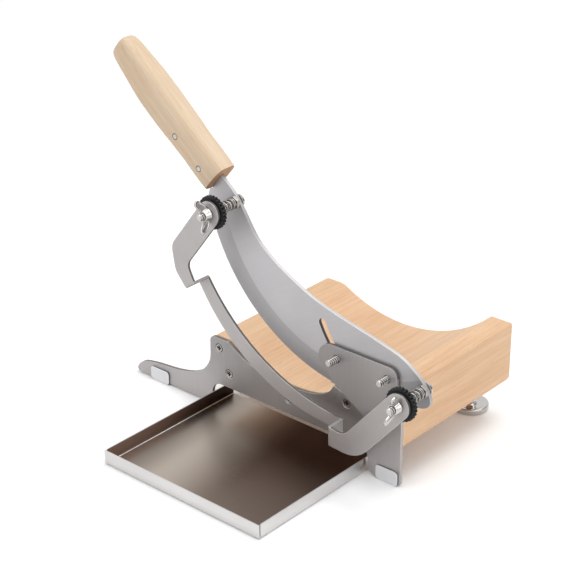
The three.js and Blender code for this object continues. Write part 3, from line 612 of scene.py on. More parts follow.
def wood_grain():
    """Growth rings, fibres and flecks of pale wood. The vector is in millimetres, with Y along the
    grain. Rings are a wave of the distance from a far off heart, bent by slow noise."""
    def build(nodes, given):
        """Mixes rings, fibres, streaks, clouds and flecks."""
        vector = given["Vector"]
        slow = nodes.noise(vector, (0.02, 0.004, 0.02))
        flat = nodes.vector("MULTIPLY", nodes.vector("ADD", vector, given["Heart"]), (1.0, 0.0, 1.0))
        bent = nodes.value("MULTIPLY_ADD", slow, 26.0, nodes.vector("LENGTH", flat))
        wave = nodes.value("SINE", nodes.value("DIVIDE", bent, given["Ring Width"]))
        rings = nodes.step(wave, -1.0, 1.0)
        fibres = nodes.noise(vector, (0.85, 0.022, 0.85), 3.0, 0.65)
        streaks = nodes.noise(vector, (0.3, 0.02, 0.3))
        fleck = nodes.step(nodes.noise(vector, (1.0, 0.1, 1.0)), 0.63, 0.72)
        cloud = nodes.noise(vector, (0.03, 0.012, 0.03), 1.0)
        share = nodes.value("MULTIPLY_ADD", rings, given["Ring Strength"], -0.25)
        for part, strength in ((fibres, 1.15), (streaks, 0.28), (cloud, 0.5)):
            share = nodes.value("MULTIPLY_ADD", part, strength, share)
        share = nodes.value("SUBTRACT", share, 0.44, clamp=True)
        share = nodes.value("MULTIPLY_ADD", fleck, 0.3, share, clamp=True)
        return {
            "Color": nodes.mix(share, given["Light"], given["Dark"]),
            "Roughness": nodes.between(fibres, 0.3, 0.7, 0.5, 0.66),
            "Height": nodes.value("MULTIPLY_ADD", fleck, -0.5, fibres)}
    return shared_group("wood grain", [
        ("Vector", VECTOR, None), ("Heart", VECTOR, (0, 0, 0)), ("Light", COLOUR, (1, 1, 1, 1)),
        ("Dark", COLOUR, (0.5, 0.4, 0.3, 1)), ("Ring Width", VALUE, 2.0), ("Ring Strength", VALUE, 0.3),
    ], [("Color", COLOUR), ("Roughness", VALUE), ("Height", VALUE)], build)


def brushed_lines():
    """Fine and broad lines of a brushed or ground sheet, with slow clouds. The vector is in
    millimetres, with X across the lines and Z along them."""
    def build(nodes, given):
        """Adds broad lines to fine ones."""
        vector = given["Vector"]
        fine = nodes.noise(vector, (5.0, 5.0, 0.08), 3.0, 0.7)
        broad = nodes.noise(vector, (0.9, 0.9, 0.02))
        lines = nodes.value("MULTIPLY_ADD", broad, 0.45, nodes.value("MULTIPLY", fine, 0.55))
        return {"Lines": lines, "Cloud": nodes.noise(vector, (0.02, 0.02, 0.02))}
    return shared_group("brushed lines", [("Vector", VECTOR, None)],
                        [("Lines", VALUE), ("Cloud", VALUE)], build)


def edge_wear_sheen_and_shade():
    """How much of a rounded edge is painted bright, partly worn metal and partly a painted highlight,
    and how much of a cut edge is painted dark, partly the duller cut face and partly painted shade,
    broken up by noise. The vector is in millimetres."""
    def build(nodes, given):
        """Breaks up the round edges and the cut edges."""
        patch = nodes.noise(given["Vector"], 0.35, 3.0)
        worn = nodes.value("MULTIPLY", given["Round Edge"], nodes.between(patch, 0.35, 0.65, 0.35, 1.0))
        burr = nodes.noise(nodes.vector("MULTIPLY", given["Vector"], (1.0, 4.0, 1.0)), 1.5, 3.0)
        cut = nodes.value("MULTIPLY", given["Cut Edge"], nodes.between(burr, 0.3, 0.7, 0.75, 1.0))
        return {"Worn Sheen": worn, "Cut": cut}
    return shared_group("edge wear sheen and shade", [
        ("Vector", VECTOR, None), ("Round Edge", VALUE, 0.0), ("Cut Edge", VALUE, 0.0),
    ], [("Worn Sheen", VALUE), ("Cut", VALUE)], build)


def soft_mottle():
    """Slow patches and fine specks of a moulded or polished surface. The vector is in
    millimetres."""
    def build(nodes, given):
        """Two noises."""
        return {
            "Patches": nodes.noise(given["Vector"], 0.12),
            "Specks": nodes.noise(given["Vector"], 3.5, 3.0, 0.7)}
    return shared_group("soft mottle", [("Vector", VECTOR, None)],
                        [("Patches", VALUE), ("Specks", VALUE)], build)


# Materials


def start_material(name):
    """A material with a Principled shader, its nodes, and Object coordinates in millimetres."""
    material = bpy.data.materials.new(name)
    material.use_nodes = True
    shader = material.node_tree.nodes["Principled BSDF"]
    nodes = Nodes(material.node_tree)
    place = nodes.add("ShaderNodeTexCoord").outputs["Object"]
    return material, nodes, shader, nodes.vector("MULTIPLY", place, (1 / MILLIMETRE,) * 3)


def link_shader(nodes, shader, fixed, colour=None, roughness=None, height=None, distance=None):
    """Sets the shader's fixed inputs and feeds the others from nodes, with a bump for the
    height."""
    for key, value in fixed.items():
        shader.inputs[key].default_value = value
    if colour is not None:
        nodes.tree.links.new(colour, shader.inputs["Base Color"])
    if roughness is not None:
        nodes.tree.links.new(roughness, shader.inputs["Roughness"])
    if height is not None:
        bump = nodes.add("ShaderNodeBump", {"Height": height, "Distance": distance, "Strength": 0.6})
        nodes.tree.links.new(bump.outputs["Normal"], shader.inputs["Normal"])


def opaque(colour):
    """The colour with an alpha of 1."""
    return (*colour, 1.0)


def deeper(colour, share):
    """The colour times a share, opaque."""
    return tuple(c * share for c in colour) + (1.0,)


def turned_vector(nodes, vector, angle, axis=1):
    """The vector turned about an axis, which is Y unless another is given."""
    rotation = [0, 0, 0]
    rotation[axis] = angle
    return nodes.add("ShaderNodeMapping", {"Vector": vector, "Rotation": rotation}).outputs[0]


def wood_material(name, light, dark, heart, ring_width, ring_strength, lean=None):
    """Sanded pale wood with its grain along Y, or in the plane of X and Z at a lean from Z."""
    material, nodes, shader, vector = start_material(name)
    if lean is not None:
        vector = turned_vector(nodes, turned_vector(nodes, vector, lean), math.radians(90), 0)
    grain = nodes.group(
        wood_grain(), Vector=vector, Heart=heart, Light=opaque(light), Dark=opaque(dark),
        Ring_Width=ring_width, Ring_Strength=ring_strength)
    # painted highlight along the rounded edges
    edge = nodes.value("MULTIPLY", nodes.attribute("round_edge"), 0.8)
    colour = nodes.mix(edge, grain["Color"], opaque(light))
    end = nodes.value("MULTIPLY", nodes.attribute("end_grain"), 0.85)
    colour = nodes.mix(end, colour, opaque(c * k for c, k in zip(dark, END_GRAIN)))
    fixed = {"Specular IOR Level": 0.35, "Coat Weight": 0.06, "Coat Roughness": 0.4}
    link_shader(nodes, shader, fixed, colour, grain["Roughness"], grain["Height"], 0.00004)
    return material


def tray_inside_reflection_and_shade(nodes, vector, colour, bright, dark, wall):
    """The tray's inside, as painted reflection and painted shade: a floor that darkens from left to
    right, less so in front, and is a little grey beside the left wall, and walls that darken towards
    the back. The distances from the walls are in millimetres."""
    (left, front, _), (_, back, _), _ = (corner / MILLIMETRE for corner in box_of("slice_tray"))
    across = nodes.vector("DOT_PRODUCT", vector, (1, 0.1, 0))
    along = nodes.vector("DOT_PRODUCT", vector, (0, 1, 0))
    share = nodes.step(across, left + 30.0, left + 90.0)
    share = nodes.value("MULTIPLY", share, nodes.between(along, front + 15.0, back - 35.0, 0.7, 1.0))
    floor = nodes.mix(share, opaque(bright), opaque(dark))
    beside = nodes.between(across, left + 4.0, left + 34.0, 0.6, 0.0, smooth=True)
    floor = nodes.mix(beside, floor, deeper(bright, 0.3))
    deep = nodes.step(along, front + 20.0, back - 10.0)
    side = nodes.mix(deep, opaque(wall), deeper(wall, 0.1))
    colour = nodes.mix(nodes.attribute("inside"), colour, floor)
    return nodes.mix(nodes.attribute("inner_wall"), colour, side)


def ground_bevel(nodes, vector, centre):
    """Where the front of the blade is ground: beyond a distance from the centre of the cutting
    edge, and below it. The distances are in millimetres."""
    centred = nodes.vector("MULTIPLY", nodes.vector("SUBTRACT", vector, centre), (1, 0, 1))
    reach = nodes.vector("LENGTH", centred)
    ripple = nodes.value("MULTIPLY_ADD", nodes.noise(vector, 0.05, 1.0), 1.2, reach)
    inner = BEVEL_INNER / MILLIMETRE
    ground = nodes.step(ripple, inner + 0.3, inner + 1.1)
    rise = nodes.vector("DOT_PRODUCT", centred, (0, 0, 1))
    ground = nodes.value("MULTIPLY", ground, nodes.step(rise, -28.0, -62.0))
    depth = nodes.vector("DOT_PRODUCT", vector, (0, 1, 0))
    back = box_of("blade")[1][1] / MILLIMETRE
    return nodes.value("MULTIPLY", ground, nodes.between(depth, back - 0.25, back - 0.1, 1.0, 0.0))


def sheet_material(name, steel, cut, roughness, angle, line_strength=0.3, bevel_centre=None,
                   shade=None, inside=None):
    """Brushed sheet steel with cut edges and worn rims. The cut edges are painted dark, partly the
    duller cut face and partly painted shade; the rounded rims are painted bright, partly worn metal
    and partly a painted highlight. A blade also has its ground bevel, given by the centre of the
    cutting edge, painted darker: partly its ground finish, partly painted shade for its slope. A
    shade is a patch of painted shade round a centre, given with its near and far reach and its
    strength. The tray has a darker inside, of painted reflection and painted shade. Faces marked as
    grooves, such as the blade's slot walls, get painted shade."""
    material, nodes, shader, vector = start_material(name)
    lines = nodes.group(brushed_lines(), Vector=turned_vector(nodes, vector, angle))
    wear_and_shade = nodes.group(edge_wear_sheen_and_shade(), Vector=vector, Round_Edge=nodes.attribute("round_edge"),
                       Cut_Edge=nodes.attribute("cut_edge_and_shade"))
    share = nodes.value("MULTIPLY_ADD", lines["Lines"], line_strength, -0.5 * line_strength)
    share = nodes.value("MULTIPLY_ADD", lines["Cloud"], 0.5, share)
    colour = nodes.mix(nodes.value("ADD", share, 0.0, clamp=True), opaque(steel), deeper(steel, 0.72))
    if inside is not None:
        # painted reflection and painted shade on the tray's floor and inner walls
        colour = tray_inside_reflection_and_shade(nodes, vector, colour, *inside)
    if shade is not None:
        centre, near, far, strength = shade
        away = nodes.vector("MULTIPLY", nodes.vector("SUBTRACT", vector, centre), (1, 0, 1.15))
        middle = nodes.between(nodes.vector("LENGTH", away), near, far, 1.0, 0.0, smooth=True)
        colour = nodes.mix(nodes.value("MULTIPLY", middle, strength), colour, deeper(steel, 0.5))
    rough = nodes.value("MULTIPLY_ADD", lines["Lines"], 0.22, roughness - 0.11)
    rough = nodes.value("MULTIPLY_ADD", lines["Cloud"], 0.12, rough)
    if bevel_centre is not None:
        # the ground bevel is painted darker: partly its ground finish, partly painted shade for its slope,
        # which the flat sheet lacks
        ground = ground_bevel(nodes, vector, bevel_centre)
        colour = nodes.mix(nodes.value("MULTIPLY", ground, 0.55), colour, deeper(steel, 0.62))
        rough = nodes.value("MULTIPLY_ADD", ground, 0.05, rough)
    # rounded rims painted brighter: partly worn metal, partly a painted highlight
    colour = nodes.mix(nodes.value("MULTIPLY", wear_and_shade["Worn Sheen"], 0.6), colour, deeper(steel, 1.25))
    # cut edges painted dark: partly the duller cut face, partly painted shade
    colour = nodes.mix(wear_and_shade["Cut"], colour, opaque(cut))
    # painted shade on faces marked as grooves, such as the slot walls
    groove_shade = nodes.value("MULTIPLY", nodes.attribute("groove_shade"), 0.85)
    colour = nodes.mix(groove_shade, colour, deeper(steel, 0.08))
    link_shader(nodes, shader, {"Metallic": 1.0}, colour, rough, lines["Lines"], 0.00002)
    return material


def polished_material(name, steel, roughness):
    """Polished fastener steel, with painted shade in thread grooves, recesses and rings round heads."""
    material, nodes, shader, vector = start_material(name)
    mottle = nodes.group(soft_mottle(), Vector=vector)
    groove_shade = nodes.attribute("groove_shade")
    share = nodes.value("MULTIPLY_ADD", mottle["Patches"], 0.5, -0.1)
    colour = nodes.mix(nodes.value("ADD", share, 0.0, clamp=True), opaque(steel), deeper(steel, 0.7))
    # painted shade in thread roots, recesses and the rings round heads
    colour = nodes.mix(nodes.value("MULTIPLY", groove_shade, 0.9), colour, deeper(steel, 0.1))
    rough = nodes.value("MULTIPLY_ADD", mottle["Specks"], 0.16, roughness - 0.05)
    rough = nodes.value("MULTIPLY_ADD", groove_shade, 0.25, rough)
    link_shader(nodes, shader, {"Metallic": 1.0}, colour, rough, mottle["Specks"], 0.00001)
    return material


def moulded_material(name, base, roughness, speck_depth, shine):
    """Moulded rubber or plastic with a faint skin texture, and a painted highlight on its rounded
    edges. A cut side lies in the dark gap round the piece and gets painted shadow."""
    material, nodes, shader, vector = start_material(name)
    mottle = nodes.group(soft_mottle(), Vector=vector)
    share = nodes.value("MULTIPLY", mottle["Patches"], 0.3)
    colour = nodes.mix(share, opaque(base), deeper(base, 0.8))
    # painted highlight on the rounded edges
    edge = nodes.value("MULTIPLY", nodes.attribute("round_edge"), 0.3)
    colour = nodes.mix(edge, colour, deeper(base, 1.15))
    # painted shadow on the marked sides, for the dark gap round the piece
    colour = nodes.mix(nodes.attribute("cut_edge_and_shade"), colour, deeper(base, 0.12))
    rough = nodes.value("MULTIPLY_ADD", mottle["Specks"], 0.2, roughness - 0.1)
    fixed = {"Specular IOR Level": shine}
    link_shader(nodes, shader, fixed, colour, rough, mottle["Specks"], speck_depth)
    return material


def shifted(middle, across, up):
    """A place moved along X and Z by metres, in millimetres."""
    return (middle + np.array([across, 0, up])) / MILLIMETRE


def material_named(name):
    """The material of that name, made the first time it is asked for."""
    found = bpy.data.materials.get(name)
    if found:
        return found
    colours = bpy.context.scene.slicer_colours
    pivot = box_of("pivot_bolt")[2]
    # painted shade patches: the plate darker round a middle near the tray, the blade darker round the upper
    # stud and its spring
    plate_shade = (shifted(pivot, *PLATE_SHADE), 70.0, 120.0, 0.4)
    blade_shade = (shifted(box_of("gauge_stud_upper")[2], 0, 0), 6.0, 55.0, 0.45)
    makers = {
        "block wood": lambda: wood_material(
            name, colours.block_light, colours.block_dark, (70.0, 0.0, 190.0), 1.9, 0.14),
        "handle wood": lambda: wood_material(
            name, colours.handle_light, colours.handle_dark, (9.0, 0.0, 30.0), 1.1, 0.12,
            HANDLE_TILT - math.pi / 2),
        "brushed plate": lambda: sheet_material(
            name, colours.plate_steel, colours.cut_steel_shade, 0.5, 0.0, shade=plate_shade),
        "brushed gauge": lambda: sheet_material(
            name, colours.gauge_steel, colours.cut_steel_shade, 0.46, math.radians(35)),
        "ground blade": lambda: sheet_material(
            name, colours.blade_steel, colours.blade_edge, 0.45, math.radians(-60), 0.2,
            shifted(pivot, *BEVEL_CENTRE), blade_shade),
        "tray steel": lambda: sheet_material(
            name, colours.tray_steel, colours.tray_steel, 0.26, math.radians(90), 0.25,
            inside=(colours.tray_floor_lit, colours.tray_floor_shaded, colours.tray_wall_shaded)),
        "polished steel": lambda: polished_material(name, colours.bright_steel, 0.16),
        "spring steel": lambda: polished_material(name, colours.spring_steel, 0.26),
        "soft cap": lambda: moulded_material(name, colours.cap, 0.55, 0.00002, 0.5),
        "black plastic": lambda: moulded_material(name, colours.wheel, 0.46, 0.00003, 0.32),
    }
    return makers[name]()


# Pieces


def thread_radius(angle, along, crest, pitch, depth):
    """Radius of a screw thread: a helical ridge whose height is a clipped triangle wave of the
    distance along, in pitches, plus the turn."""
    share = (along / pitch + angle / (2 * np.pi)) % 1.0
    ridge = np.clip(THREAD_FLANK * np.abs(2 * share - 1) - THREAD_ROOT, 0, 1)
    return crest - depth * (1 - ridge)


def threaded_piece(node, body, thread_end, head_thick):
    """Bolt or stud along Y: threaded from its chamfered tip to thread_end, then a plain shank and
    a low round head with a rounded rim."""
    sizes = bpy.context.scene.slicer_sizes
    low, high, middle = box_of(node)
    head = (high[0] - low[0]) / 2
    angle = circle(BOLT_SIDES)
    along = np.arange(low[1], thread_end, sizes.thread_pitch / THREAD_STEPS)
    radius = thread_radius(angle[None], along[:, None], BOLT_RADIUS, sizes.thread_pitch,
                           sizes.thread_depth)
    chamfer = BOLT_RADIUS - TIP_CHAMFER + (along - low[1])
    threads = round_axis(np.minimum(radius, chamfer[:, None]), along, middle, angle)
    head_front = high[1] - head_thick
    shank = [[BOLT_RADIUS, thread_end], [BOLT_RADIUS, head_front], [head, head_front]]
    rim = arc((head - TIP_CHAMFER, high[1] - TIP_CHAMFER), 0, np.pi / 2, TIP_CHAMFER, 6)
    plain = turned_grid(np.vstack([shank, rim]), middle, BOLT_SIDES)
    obj = ring_object(node + "_dressed", np.vstack([threads, plain]), 35)
    places = mesh_points(obj.data)
    threaded = (places[:, 1] < thread_end) & (places[:, 1] > low[1] + TIP_CHAMFER)
    # painted shade in the thread roots, growing as the surface sinks below the crest
    sunk = (BOLT_RADIUS - axis_reach(places, middle)) / sizes.thread_depth
    store_values(obj.data, "POINT", "groove_shade", np.clip(1.5 * sunk - 0.1, 0, 1) * threaded)
    return finish_piece(obj, body, node, "polished steel")


def plate_front():
    """Y of the stand plate's front face: its back less its thickness."""
    return box_of("stand_plate")[1][1] - PLATE_SHEET


def spring_piece(side):
    """Compression spring: a round wire carried along a helix whose first and last turns lie
    close, and whose other turns share the rest of the length. Its inner side has painted shade."""
    sizes = bpy.context.scene.slicer_sizes
    node = f"gauge_spring_{side}"
    low, high, middle = box_of(node)
    wire, turns = sizes.spring_wire / 2, sizes.spring_turns
    coil = (high[0] - low[0]) / 2 - wire
    back, front = high[1] - wire, low[1] + wire
    close = 2 * wire * SPRING_CLOSE
    along = np.interp(np.linspace(0, turns, turns * SPRING_STEPS + 1), [0, 1, turns - 1, turns],
                      [back, back - close, front + close, front])
    ends = SPRING_STEPS // 4
    padded = np.concatenate([np.full(ends, along[0]), along, np.full(ends, along[-1])])
    along = np.convolve(padded, np.ones(2 * ends + 1) / (2 * ends + 1), mode="valid")
    angle = np.linspace(0, turns * 2 * np.pi, len(along))
    centre = np.stack([middle[0] + coil * np.cos(angle), along, middle[2] + coil * np.sin(angle)], 1)
    outward = np.stack([np.cos(angle), np.zeros_like(angle), np.sin(angle)], 1)
    heading = np.gradient(centre, axis=0)
    heading /= np.linalg.norm(heading, axis=1, keepdims=True)
    other = np.cross(heading, outward)
    ring = circle(12)[None, :, None]
    tube = centre[:, None] + wire * (np.cos(ring) * outward[:, None] + np.sin(ring) * other[:, None])
    obj = ring_object(node + "_dressed", tube, 50)
    inner = (coil - axis_reach(mesh_points(obj.data), middle)) / wire + 0.2
    store_values(obj.data, "POINT", "groove_shade", np.clip(inner, 0, 1))
    finish_piece(obj, "blade", node, "spring steel")
    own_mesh(obj)
    return obj


def wheel_piece(side):
    """Moulded wheel: a closed profile with rounded rims, turned about Y. Grooves run across the
    rim where the absolute sine of the turn is small, and fade out towards the bore."""
    sizes = bpy.context.scene.slicer_sizes
    node = f"knurled_wheel_{side}"
    low, high, middle = box_of(node)
    outer, front, back = (high[0] - low[0]) / 2, low[1], high[1]
    grip_start = outer - WHEEL_GRIP
    rim, dish, (boss, face) = WHEEL_RIM, WHEEL_DISH, WHEEL_BOSS
    profile = np.vstack([
        [[WHEEL_BORE, front + dish], [boss, front + dish], [face, front], [grip_start, front]],
        arc((outer - rim, front + rim), -np.pi / 2, 0, rim, 5),
        arc((outer - rim, back - rim), 0, np.pi / 2, rim, 5),
        [[grip_start, back], [face, back], [boss, back - dish], [WHEEL_BORE, back - dish]]])
    angle = circle(sizes.wheel_grips * 10)
    wave = 1 - np.abs(np.sin(angle * sizes.wheel_grips / 2))
    share = np.clip((profile[:, 0] - grip_start) / WHEEL_GRIP, 0, 1)
    radius = profile[:, :1] - sizes.wheel_groove * share[:, None] * wave[None]
    points = round_axis(radius, profile[:, 1], middle, angle)
    obj = grid_object(node + "_dressed", [(points, True, True, False)], 45)
    return finish_piece(obj, f"wheel_{side}", node, "black plastic")


def wing_points(hub_back, middle, turn):
    """One wing of a wing nut: a pillow over a slanted rounded rectangle. Its outline is a
    superellipse, and its half thickness falls to nothing at the outline with the same law. The
    middle is pressed in, by a smooth step of how far out a point lies."""
    half_long, half_wide, half_thick = WING_HALVES
    around = circle(48)
    over = np.linspace(0, np.pi, 25)
    swell, fall, square = WING_POWERS
    out = signed_power(np.sin(over), swell)[:, None]
    dish = np.clip((WING_DISH[0] - out) / WING_DISH[1], 0, 1)
    thick = half_thick * (1 - WING_PRESSED * dish * dish * (3 - 2 * dish))
    side = thick * signed_power(np.cos(over), fall)[:, None] * np.ones(len(around))
    long = half_long * out * signed_power(np.cos(around), square)[None]
    wide = half_wide * out * signed_power(np.sin(around), square)[None]
    reach = WING_PLACE[0] + long * math.cos(WING_LEAN) - wide * math.sin(WING_LEAN)
    rise = WING_PLACE[1] + long * math.sin(WING_LEAN) + wide * math.cos(WING_LEAN)
    x = middle[0] + reach * math.cos(turn) - side * math.sin(turn)
    z = middle[2] + reach * math.sin(turn) + side * math.cos(turn)
    return np.stack([x, hub_back - rise, z], -1)


def wing_nut_piece(side):
    """Cast wing nut: a tapered hub with a small collar, joined to two wings, each trimmed inside
    the hub so that the bore stays open."""
    node = f"wing_nut_{side}"
    _, high, middle = box_of(node)
    stud = box_of(f"gauge_stud_{side}")[2]
    back = high[1]
    place = np.array([stud[0], middle[1], stud[2]])
    profile = [[radius, back - rise] for radius, rise in WING_HUB]
    hub = grid_object(node + "_dressed", [(turned_grid(profile, place, 48), True, True, False)])
    trim = [[WING_TRIM, back + 0.001], [WING_TRIM, back - 0.0122]]
    for turn in (WING_TURNS[side], WING_TURNS[side] + math.pi):
        wing = grid_object("wing", [(wing_points(back, place, turn), False, True, False)])
        cut_with(wing, ring_object("trim", turned_grid(trim, place, 48)))
        join = hub.modifiers.new("join", "BOOLEAN")
        join.operation, join.solver, join.object = "UNION", "EXACT", wing
        apply_modifiers(hub)
        bpy.data.objects.remove(wing)
    shade(hub.data, 45)
    return finish_piece(hub, f"wing_nut_{side}", node, "polished steel")


def handle_curve():
    """Rings of the handle: share along, width, depth and shift across, as a smooth curve."""
    curve = smooth_through(HANDLE_RINGS, HANDLE_SAMPLES)
    curve[:, 0] = np.maximum.accumulate(np.clip(curve[:, 0], 0, 1))
    return curve * (HANDLE_LENGTH, HANDLE_WIDTH / 2, HANDLE_DEPTH / 2, 1)


def handle_place():
    """Middle of the handle's lower end, and the ways along and across it."""
    _, _, pivot = box_of("pivot_bolt")
    start = pivot + np.array([HANDLE_START[0], 0, HANDLE_START[1]])
    start[1] = plate_front() + SHEET_MIDDLE
    along_way = np.array([math.cos(HANDLE_TILT), 0, math.sin(HANDLE_TILT)])
    across_way = np.array([math.sin(HANDLE_TILT), 0, -math.cos(HANDLE_TILT)])
    return start, along_way, across_way


def handle_piece():
    """Handle: rings of a superellipse along a straight line, their sizes a smooth curve through
    a few shares, with a slot for the tang and holes for the rivets cut out."""
    start, along_way, across_way = handle_place()
    along, width, depth, shift = handle_curve().T
    angle = circle(HANDLE_SIDES)
    power = 2 / bpy.context.scene.slicer_sizes.handle_squareness
    across = width[:, None] * signed_power(np.cos(angle), power) + shift[:, None]
    out = depth[:, None] * signed_power(np.sin(angle), power)
    points = (start + along[:, None, None] * along_way + across[..., None] * across_way
              + out[..., None] * np.array([0, 1, 0]))
    obj = ring_object("handle_dressed", points, 38)
    below, above = TANG_MIDDLE - TANG_WIDTH / 2, TANG_MIDDLE + TANG_WIDTH / 2
    corners = [(-0.002, below), (TANG_LENGTH, below), (TANG_LENGTH, above), (-0.002, above)]
    outline = np.array([start + a * along_way + c * across_way for a, c in corners])
    deep = np.array([0, TANG_SLOT / 2, 0])
    cut_with(obj, ring_object("tang_slot", np.stack([outline - deep, outline + deep])))
    for number in (1, 2):
        middle = box_of(f"handle_rivet_{number}")[2]
        hole = turned_grid([[RIVET_HOLE, middle[1] - 0.02], [RIVET_HOLE, middle[1] + 0.02]], middle, 40)
        cut_with(obj, ring_object("rivet_hole", hole))
    shade(obj.data, 38)
    middles, normals = face_middles(obj.data)
    end = (normals @ along_way < -0.5) & ((middles - start) @ along_way < 0.003)
    store_values(obj.data, "FACE", "end_grain", end)
    return finish_piece(obj, "blade", "handle", "handle wood")


def rivet_piece(number):
    """Rivet with low heads that stand a little over the handle: the head's height falls with the
    fourth power of the radius. A ring of painted shadow surrounds the head."""
    node = f"handle_rivet_{number}"
    low, high, middle = box_of(node)
    start, along_way, across_way = handle_place()
    along, width, depth, shift = handle_curve().T
    here = (middle - start) @ along_way
    across = (middle - start) @ across_way - np.interp(here, along, shift)
    power = bpy.context.scene.slicer_sizes.handle_squareness
    share = abs(across) / np.interp(here, along, width)
    half = np.interp(here, along, depth) * (1 - share ** power) ** (1 / power) + RIVET_STAND
    radius = (high[0] - low[0]) / 2
    share = np.linspace(0.02, 1, 14)
    head = half - RIVET_CROWN * share ** 4
    front = np.stack([share * radius, start[1] - head], 1)
    back = np.stack([share[::-1] * radius, start[1] + head[::-1]], 1)
    obj = ring_object(node + "_dressed", turned_grid(np.vstack([front, back]), middle, 40))
    # painted shadow ring round the head's rim
    ring = (axis_reach(mesh_points(obj.data), middle) - radius + RIVET_RING) / RIVET_RING
    store_values(obj.data, "POINT", "groove_shade", np.clip(ring, 0, 1))
    return finish_piece(obj, "blade", node, "polished steel")


def screw_piece(number):
    """Countersunk screw: a bright ring round a shallow dish with a cross recess. The recess and
    the screw's rim get painted shade, and the dish half as much."""
    node = f"plate_screw_{number}"
    low, high, middle = box_of(node)
    radius, front, dish, shank = (high[0] - low[0]) / 2, low[1], SCREW_DISH, SCREW_SHANK
    floor, slope, lip = SCREW_RINGS
    profile = [
        [THIN, front + dish], [floor, front + dish], [slope, front + SCREW_SLOPE], [lip, front],
        [radius - SCREW_RIM[0], front], [radius, front + SCREW_RIM[1]], [shank, front + SCREW_HEAD],
        [shank, high[1] - shank], [THIN, high[1]]]
    obj = ring_object(node + "_dressed", turned_grid(profile, middle, 48), 35)
    for long, wide in (SCREW_CROSS, SCREW_CROSS[::-1]):
        x = middle[0] + long * np.array([-1, 1, 1, -1])
        z = middle[2] + wide * np.array([-1, -1, 1, 1])
        rows = [np.stack([x, np.full(4, y), z], 1) for y in (front - 0.001, front + SCREW_DEEP)]
        cut_with(obj, ring_object("recess", np.stack(rows)))
    shade(obj.data, 35)
    middles = face_middles(obj.data)[0]
    reach, sunk = axis_reach(middles, middle), middles[:, 1] - front
    recess = (reach < 0.0025) & (sunk > dish + 0.00005) & (sunk < SCREW_DEEP + 0.0002)
    rim = (reach > radius - 0.001) & (sunk > 0.00005)
    dished = (reach < slope) & (sunk > 0.0001)
    # painted shade: recess and rim dark, dish half dark
    groove_shade = np.select([recess | rim, dished], [1.0, 0.55], 0.0)
    store_values(obj.data, "FACE", "groove_shade", groove_shade)
    return finish_piece(obj, "base", node, "polished steel")


def rear_foot_piece(side):
    """Turned foot: a disc with a rounded rim and a shallow dish on top, on a stem, turned
    about Z."""
    node = f"rear_foot_{side}"
    low, high, middle = box_of(node)
    radius, thick, flare, lip = (high[0] - low[0]) / 2, FOOT_THICK, FOOT_FLARE, FOOT_LIP
    profile = np.vstack([
        [[THIN, 0.0], [radius - flare - 0.0004, 0.0]],
        arc((radius - flare, flare), -np.pi / 2, 0, flare),
        arc((radius - lip, thick - lip), 0, np.pi / 2, lip),
        [[radius - FOOT_SLOPE[0], thick - 0.0004], [radius - FOOT_SLOPE[1], thick - FOOT_DISH],
         [FOOT_NECK[0], thick - FOOT_DISH], [FOOT_NECK[1], thick - 0.0009], [FOOT_STEM, thick],
         [FOOT_STEM, high[2]], [THIN, high[2]]]])
    angle = circle(72)
    reach = profile[:, :1]
    points = np.stack([
        middle[0] + reach * np.cos(angle), middle[1] + reach * np.sin(angle),
        np.repeat(profile[:, 1:], len(angle), 1)], -1)
    obj = ring_object(node + "_dressed", points, 35)
    return finish_piece(obj, "base", node, "polished steel")


def swept_outline(outline, positions, axis):
    """A flat outline carried along an axis: each position gives one ring."""
    return np.stack([np.insert(outline, axis, place, axis=1) for place in positions])


def rolled_edge(outer, inner, top, lip):
    """Top edge of a thin wall, with small chamfers, from its outer face to its inner one."""
    way = np.sign(inner - outer) * lip / 2
    return [[outer, top - lip], [outer + way, top], [inner - way, top], [inner, top - lip]]


def tray_piece():
    """Tray of thin folded sheet: a trough along Y, whose section is a line with two round folds
    and a thickness, and a front wall folded from the floor, with hairline seams between them."""
    bend = bpy.context.scene.slicer_sizes.tray_bend
    low, high, middle = box_of("slice_tray")
    sheet, outer, lip, quarter = TRAY_SHEET, bend + TRAY_SHEET, TRAY_SHEET / 3, np.pi / 2
    (left, front), (right, top) = low[:2], high[[0, 2]]
    left_fold, right_fold, front_fold = (
        (left + outer, outer), (right - outer, outer), (front + outer, outer))
    left_edge = rolled_edge(left, left + sheet, top, lip)
    trough = np.vstack([
        left_edge[1::-1],
        arc(left_fold, 2 * quarter, 3 * quarter, outer),
        arc(right_fold, 3 * quarter, 4 * quarter, outer),
        rolled_edge(right, right - sheet, top, lip),
        arc(right_fold, 4 * quarter, 3 * quarter, bend),
        arc(left_fold, 3 * quarter, 2 * quarter, bend),
        left_edge[:1:-1]])
    wall = np.vstack([
        [[front + outer, 0.0]],
        arc(front_fold, 3 * quarter, 2 * quarter, outer),
        rolled_edge(front, front + sheet, top, lip),
        arc(front_fold, 2 * quarter, 3 * quarter, bend),
        [[front + outer, sheet]]])
    obj = grid_object("slice_tray_dressed", [
        (swept_outline(trough, (front + outer + TRAY_SEAM, high[1]), 1), False, True, True),
        (swept_outline(wall, (left, right), 0), False, True, True)], 30)
    middles, normals = face_middles(obj.data)
    inward = ((middle - middles) * normals)[:, :2].sum(1) > 0.02
    inside = (normals[:, 2] > 0.97) & (middles[:, 2] < top / 2)
    store_values(obj.data, "FACE", "inside", inside)
    store_values(obj.data, "FACE", "inner_wall", inward & (np.abs(normals[:, 2]) < 0.3))
    return finish_piece(obj, "tray", "slice_tray", "tray steel")


def rounded_piece(node, body, material, width, segments=2, soften=None):
    """A CAD node's own shape with its edges rounded."""
    obj = rounded_copy(node, width, segments, soften)
    return finish_piece(obj, body, node, material)


